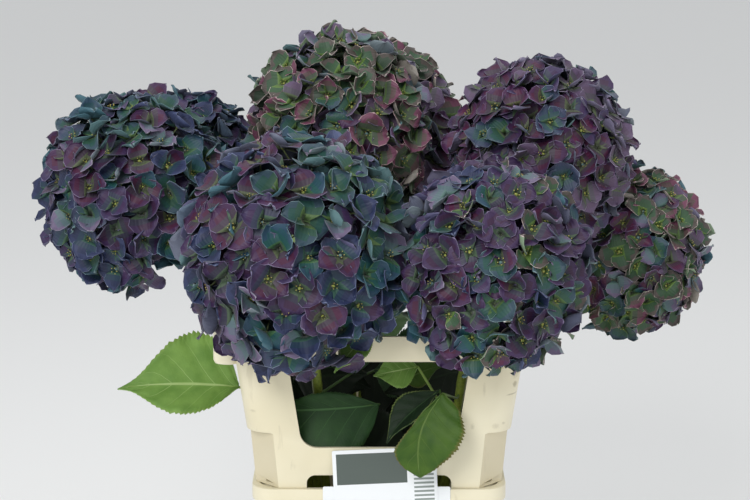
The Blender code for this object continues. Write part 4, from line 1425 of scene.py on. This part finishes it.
wide, long = len(SEPAL_COLUMNS), len(SEPAL_ROWS)
select_none()
bpy.ops.mesh.primitive_grid_add(x_subdivisions=wide - 1, y_subdivisions=long - 1, size=2)
pattern = bpy.context.object
flat_u, flat_v, column_of, row_of = [], [], [], []
for vertex in pattern.data.vertices:
    column = round((vertex.co.x + 1) / 2 * (wide - 1))
    row = round((vertex.co.y + 1) / 2 * (long - 1))
    column_of.append(column)
    row_of.append(row)
    flat_u.append(SEPAL_COLUMNS[column])
    flat_v.append(SEPAL_ROWS[row])
front_quads = [tuple(face.vertices) for face in pattern.data.polygons]
bpy.data.objects.remove(pattern, do_unlink=True)

under = {}
for i, (column, row) in enumerate(zip(column_of, row_of)):
    if 0 < column < wide - 1 and 0 < row < long - 1:
        under[i] = len(column_of) + len(under)
sepal_u = np.array(flat_u + [flat_u[i] for i in under])
sepal_v = np.array(flat_v + [flat_v[i] for i in under])
above = [0.5 if i in under else 0.0 for i in range(len(flat_u))]
sepal_side = np.array(above + [-0.5] * len(under))
sepal_quads = front_quads + [tuple(under.get(quad[k], quad[k]) for k in (0, 3, 2, 1)) for quad in front_quads]
sepal_shades = []
for quad in front_quads:
    row = min(row_of[i] for i in quad)
    column = min(column_of[i] for i in quad)
    edge = row == long - 2 or column in (0, wide - 2)
    flank = row == long - 3 or (column in (1, wide - 3) and row == 2)
    shade = ("throat", "inner", "middle", "side", "side")[row]
    if flank:
        shade = "side"
    if edge and row > 0:
        shade = "rim"
    sepal_shades.append(SHADES.index(shade))
sepal_shades += [SHADES.index("back")] * len(front_quads)
print("one sepal has", len(sepal_quads), "faces")

# %% Bending the sepals of a bloom
RISE = (0.22, 0.30)
UPRIGHT_SHARE = 0.20
UPRIGHT_RISE = 0.55
CURL = (-0.25, 0.95)
CUP = (0.24, 0.42)
TWIST = 0.22
RUFFLE = (0.06, 0.10)
RUFFLES_ALONG = 5.0
RUFFLES_ACROSS = 2.2
LEAST_CURL = 0.05
RUFFLE_MIDDLE = 0.3
CUP_POWER = 1.8
CUP_DRAW = 0.25
TIP_ROUND = 0.05
SEPAL_LIFTS = (-0.03, 0.05)
LENGTH_SPREAD = 0.15
WIDE_SPREAD = 0.15
FLORET_SIZES = (0.88, 1.12)
SEPAL_SWING = 0.14
# The sepal's least half width as a share of the widest, and the powers that round its outline
PROFILE_LEAST = 0.05
PROFILE_SHIFT = 0.88
PROFILE_ROUND = 0.72


def sepal_profile(v):
    """Half the sepal's width along it, as a share of the widest: broad, with a short point."""
    swell = np.sin(np.pi * np.clip(v, 0, 1) ** PROFILE_SHIFT) ** PROFILE_ROUND
    return PROFILE_LEAST + (1 - PROFILE_LEAST) * swell


def bent_sepals(numbers, size):
    """Points of many sepals in their florets' own frames, each along its own x, facing z."""
    rise, curl, left, right, twist, ruffle, phase, stretch, wide_share, lift = (
        column[:, None] for column in numbers.T
    )
    curl = np.where(np.abs(curl) < LEAST_CURL, LEAST_CURL, curl)
    profile = sepal_profile(sepal_v)[None, :]
    across = sepal_u[None, :] * profile * SEPAL_WIDE * wide_share
    sides = np.abs(sepal_u)[None, :]
    along = sepal_v[None, :] - TIP_ROUND * sides**2 * sepal_v[None, :] ** 4
    cup = np.where(sepal_u[None, :] < 0, left, right)
    height = cup * sides**CUP_POWER * profile * SEPAL_WIDE
    wave = phase + RUFFLES_ALONG * along + RUFFLES_ACROSS * sepal_u[None, :]
    height += ruffle * np.sin(wave) * along * (RUFFLE_MIDDLE + sides)
    height += sepal_side[None, :] * SEPAL_THICK + lift * along + twist * along * across
    across = across * (1 - CUP_DRAW * np.abs(cup) * sides**2)
    angle = rise + curl * along
    x = (np.sin(angle) - np.sin(rise)) / curl * stretch - np.sin(angle) * height
    z = (np.cos(rise) - np.cos(angle)) / curl * stretch + np.cos(angle) * height
    return np.stack([x, across, z], axis=-1) * size


def floret_frame(middle, facing, angle):
    """A frame with its x at this angle round the floret's axis, as three rows, and its origin."""
    to_face = UP.rotation_difference(facing)
    first = to_face @ Vector((math.cos(angle), math.sin(angle), 0))
    return [first, facing.cross(first), facing], middle


def sepal_numbers(dice, k):
    """How one sepal is bent; opposite pairs lie over and under, and a few stand up."""
    rise = RISE[0] + RISE[1] * dice.uniform(-1, 1)
    return (
        rise + (UPRIGHT_RISE if dice.random() < UPRIGHT_SHARE else 0.0),
        CURL[0] + CURL[1] * dice.uniform(-1, 1),
        CUP[0] + CUP[1] * dice.uniform(-1, 1),
        CUP[0] + CUP[1] * dice.uniform(-1, 1),
        TWIST * dice.uniform(-1, 1),
        RUFFLE[0] + RUFFLE[1] * dice.random(),
        dice.uniform(0, math.tau),
        1 + LENGTH_SPREAD * dice.uniform(-1, 1),
        1 + WIDE_SPREAD * dice.uniform(-1, 1),
        SEPAL_LIFTS[k % 2],
    )


def mesh_from(name, points, faces, finishes, shades, uv=None):
    """A mesh object from arrays, with a finish for each face."""
    mesh = bpy.data.meshes.new(name)
    mesh.from_pydata(points, [], faces)
    for finish in finishes:
        mesh.materials.append(finish)
    mesh.polygons.foreach_set("material_index", shades)
    mesh.polygons.foreach_set("use_smooth", [True] * len(mesh.polygons))
    if uv is not None:
        corners = np.empty(len(mesh.loops), dtype=np.int32)
        mesh.loops.foreach_get("vertex_index", corners)
        mesh.uv_layers.new(name="UVMap").data.foreach_set("uv", uv[corners].ravel())
    made = bpy.data.objects.new(name, mesh)
    bpy.context.scene.collection.objects.link(made)
    return made


def sepals_of(name, seats, dealt):
    """All the sepals of one bloom as one mesh."""
    _, radius, _ = BLOOMS[name]
    dice = random.Random("sepals of " + name)
    numbers, frames, origins, sizes, starts = [], [], [], [], []
    for (middle, facing, turn), families in zip(seats, dealt):
        size = SEPAL_LENGTH * radius * dice.uniform(*FLORET_SIZES)
        for k, family in enumerate(families):
            angle = turn + k * math.pi / 2 + dice.uniform(-SEPAL_SWING, SEPAL_SWING)
            rows, origin = floret_frame(middle, facing, angle)
            numbers.append(sepal_numbers(dice, k))
            frames.append(rows)
            origins.append(origin)
            sizes.append(size)
            starts.append(family_start[family])
    local = bent_sepals(np.array(numbers), np.array(sizes)[:, None, None])
    points = np.einsum("sni,sij->snj", local, np.array(frames)) + np.array(origins)[:, None, :]
    count = len(sepal_u)
    quads = np.array(sepal_quads)[None, :, :] + (np.arange(len(numbers)) * count)[:, None, None]
    shades = (np.array(sepal_shades)[None, :] + np.array(starts)[:, None]).ravel()
    uv = np.tile(np.stack([sepal_u * 0.5 + 0.5, sepal_v], axis=-1), (len(numbers), 1))
    used = sorted(set(shades.tolist()))
    place_of = {old: new for new, old in enumerate(used)}
    finishes = [petal_finishes[i] for i in used]
    indices = [place_of[shade] for shade in shades.tolist()]
    quads = quads.reshape(-1, 4).tolist()
    return mesh_from("bloom_" + name + "_sepals", points.reshape(-1, 3), quads, finishes, indices, uv)


print("sepals can be bent")

# %% [markdown]
# In the middle of each floret sits an eye: a low yellow-green dome, with a few thin stamens that
# end in pale dots. Thin stalks carry the florets. They spring from a dozen branches that part
# from the stem's tip, as in the real cluster.

# %% Eyes and stalks
eye_green = plain("yellow_green_eye", linear("8a9548"), 0.5, PLANT_IOR)
eye_blue = plain("blue_green_eye", linear("5f7a78"), 0.5, PLANT_IOR)
anther = plain("pale_yellow_anther", linear("c9b868"), 0.6, PLANT_IOR)
stalk_green = plain("green_wine_stalk", linear("6e7a52"), 0.55, PLANT_IOR)
STAMENS = 5
STAMEN_SIDES = 3
EYE_SIDES = 6
EYE_RADIUS = 0.0017
EYE_SIZES = (0.75, 1.25)
OPEN_EYES = 0.7
BLUE_EYES = 0.3
# Radius and height of the dome's two rings, and its top and foot, as shares of the eye's radius
DOME_RINGS = ((1.0, 0.0), (0.75, 0.7))
DOME_TOP = 1.0
DOME_FOOT = -0.3
# Where a stamen starts and ends, how thick it is there, and its pale tip
STAMEN_FOOT = (0.5, 0.5)
STAMEN_HEAD = (1.5, 1.9)
STAMEN_HALVES = (0.13, 0.10, 0.34)
ANTHER_RISE = 0.42
ANTHER_TOP = 0.62
BRANCHES = 12
BRANCH_SPREAD = 1.5
BRANCH_REACH = 0.50
BRANCH_ELBOW = 0.45
BRANCH_BEND = 0.08
BRANCH_RADIUS = 0.0016
BRANCH_TAPER = (1.3, 1.1, 1.0, 0.8)
STALK_RADIUS = 0.0007
STALK_TAPER = (1.3, 1.0, 1.2)
STALK_ELBOW = 0.55
STALK_BEND = 0.05
STALK_SIDES = 4
STALK_END = 0.0006


def eye_pattern():
    """An eye at the origin, facing z: points, faces and finishes (0 dome, 1 anther)."""
    points, faces, shades = [], [], []
    for radius, z in DOME_RINGS:
        for i in range(EYE_SIDES):
            angle = i * math.tau / EYE_SIDES
            points.append((radius * math.cos(angle), radius * math.sin(angle), z))
    top, foot = len(points), len(points) + 1
    points += [(0, 0, DOME_TOP), (0, 0, DOME_FOOT)]
    for i in range(EYE_SIDES):
        j = (i + 1) % EYE_SIDES
        faces += [(i, j, EYE_SIDES + j, EYE_SIDES + i), (EYE_SIDES + i, EYE_SIDES + j, top), (j, i, foot)]
        shades += [0, 0, 0]
    for k in range(STAMENS):
        angle = (k + 0.5) * math.tau / STAMENS
        root, head = (
            Vector((out * math.cos(angle), out * math.sin(angle), z)) for out, z in (STAMEN_FOOT, STAMEN_HEAD)
        )
        start = len(points)
        for place, half in zip((root, head, head + UP * ANTHER_RISE), STAMEN_HALVES):
            for i in range(STAMEN_SIDES):
                turn = angle + i * math.tau / STAMEN_SIDES
                points.append(tuple(place + Vector((half * math.cos(turn), half * math.sin(turn), 0))))
        points.append(tuple(head + UP * ANTHER_TOP))
        faces.append((start + 2, start + 1, start))
        shades.append(0)
        middle, upper = start + STAMEN_SIDES, start + 2 * STAMEN_SIDES
        for low, high, shade in ((start, middle, 0), (middle, upper, 1)):
            for i in range(STAMEN_SIDES):
                j = (i + 1) % STAMEN_SIDES
                faces.append((low + i, low + j, high + j, high + i))
                shades.append(shade)
        for i in range(STAMEN_SIDES):
            faces.append((upper + i, upper + (i + 1) % STAMEN_SIDES, upper + STAMEN_SIDES))
            shades.append(1)
    return points, faces, shades


eye_points, eye_faces, eye_shades = eye_pattern()


def eyes_of(name, seats):
    """The eyes of one bloom's outer florets."""
    dice = random.Random("eyes of " + name)
    points, faces, shades = [], [], []
    for middle, facing, turn in seats:
        if dice.random() > OPEN_EYES:
            continue
        rows, origin = floret_frame(middle, facing, turn + dice.uniform(0, 1))
        size = EYE_RADIUS * dice.uniform(*EYE_SIZES)
        start, own = len(points), 2 if dice.random() < BLUE_EYES else 0
        for x, y, z in eye_points:
            points.append(origin + (rows[0] * x + rows[1] * y + rows[2] * z) * size)
        faces += [tuple(start + i for i in face) for face in eye_faces]
        shades += [1 if shade else own for shade in eye_shades]
    return mesh_from("bloom_" + name + "_eyes", points, faces, [eye_green, anther, eye_blue], shades)


def stalks_of(name, seats):
    """Branches from the stem's tip, and a stalk from the nearest branch to each floret."""
    centre, radius, lean = BLOOMS[name]
    tip, axis = head_base(name)
    to_axis = UP.rotation_difference(axis)
    lines, hubs = [], []
    for i in range(BRANCHES):
        height = 1 - (i + 0.5) / BRANCHES * BRANCH_SPREAD
        level, around = math.sqrt(1 - height * height), i * GOLDEN_ANGLE
        way = to_axis @ Vector((level * math.cos(around), level * math.sin(around), height))
        hub = centre + stretched(way * radius * BRANCH_REACH)
        bend = tip.lerp(hub, BRANCH_ELBOW) + axis * (BRANCH_BEND * radius)
        lines.append(([tip, tip.lerp(bend, 0.5), bend, hub], [BRANCH_RADIUS * s for s in BRANCH_TAPER]))
        hubs.append(hub)
    for middle, facing, _ in seats:
        hub = min(hubs, key=lambda place: (place - middle).length)
        end = middle - facing * STALK_END
        bend = hub.lerp(end, STALK_ELBOW) - facing * (STALK_BEND * radius)
        lines.append(([hub, bend, end], [STALK_RADIUS * s for s in STALK_TAPER]))
    made = tubes("bloom_" + name + "_stalks", lines, STALK_SIDES)
    made.data.materials.append(stalk_green)
    return made


print("one eye has", len(eye_faces), "faces")

# %% Blooms
FLORET_TILT = math.radians(40)
GREEN_BLOOMS = ("centre", "back")


def seats_of(name, count, share):
    """The seats of one layer of a bloom's florets, without those that don't fit."""
    tried = [seat(name, place, share) for place in floret_places(name, count, FLORET_TILT)]
    return [found for found in tried if found]


total = 0
for name in BLOOMS:
    slot = "bloom_green" if name in GREEN_BLOOMS else "bloom"
    outer = seats_of(name, OUTER_FLORETS, 1.0)
    inner = seats_of(name, INNER_FLORETS, INNER_REACH)
    dealt = deal(name, [facing for _, facing, _ in outer + inner])
    pieces = [
        sepals_of(name, outer + inner, dealt),
        eyes_of(name, outer),
        stalks_of(name, outer + inner),
    ]
    for piece in pieces:
        dress(piece, slot, "bloom_" + name)
    total += sum(len(piece.data.polygons) for piece in pieces)
    print("bloom", name, "has", len(outer), "outer and", len(inner), "inner florets")
print("blooms have", total, "faces")
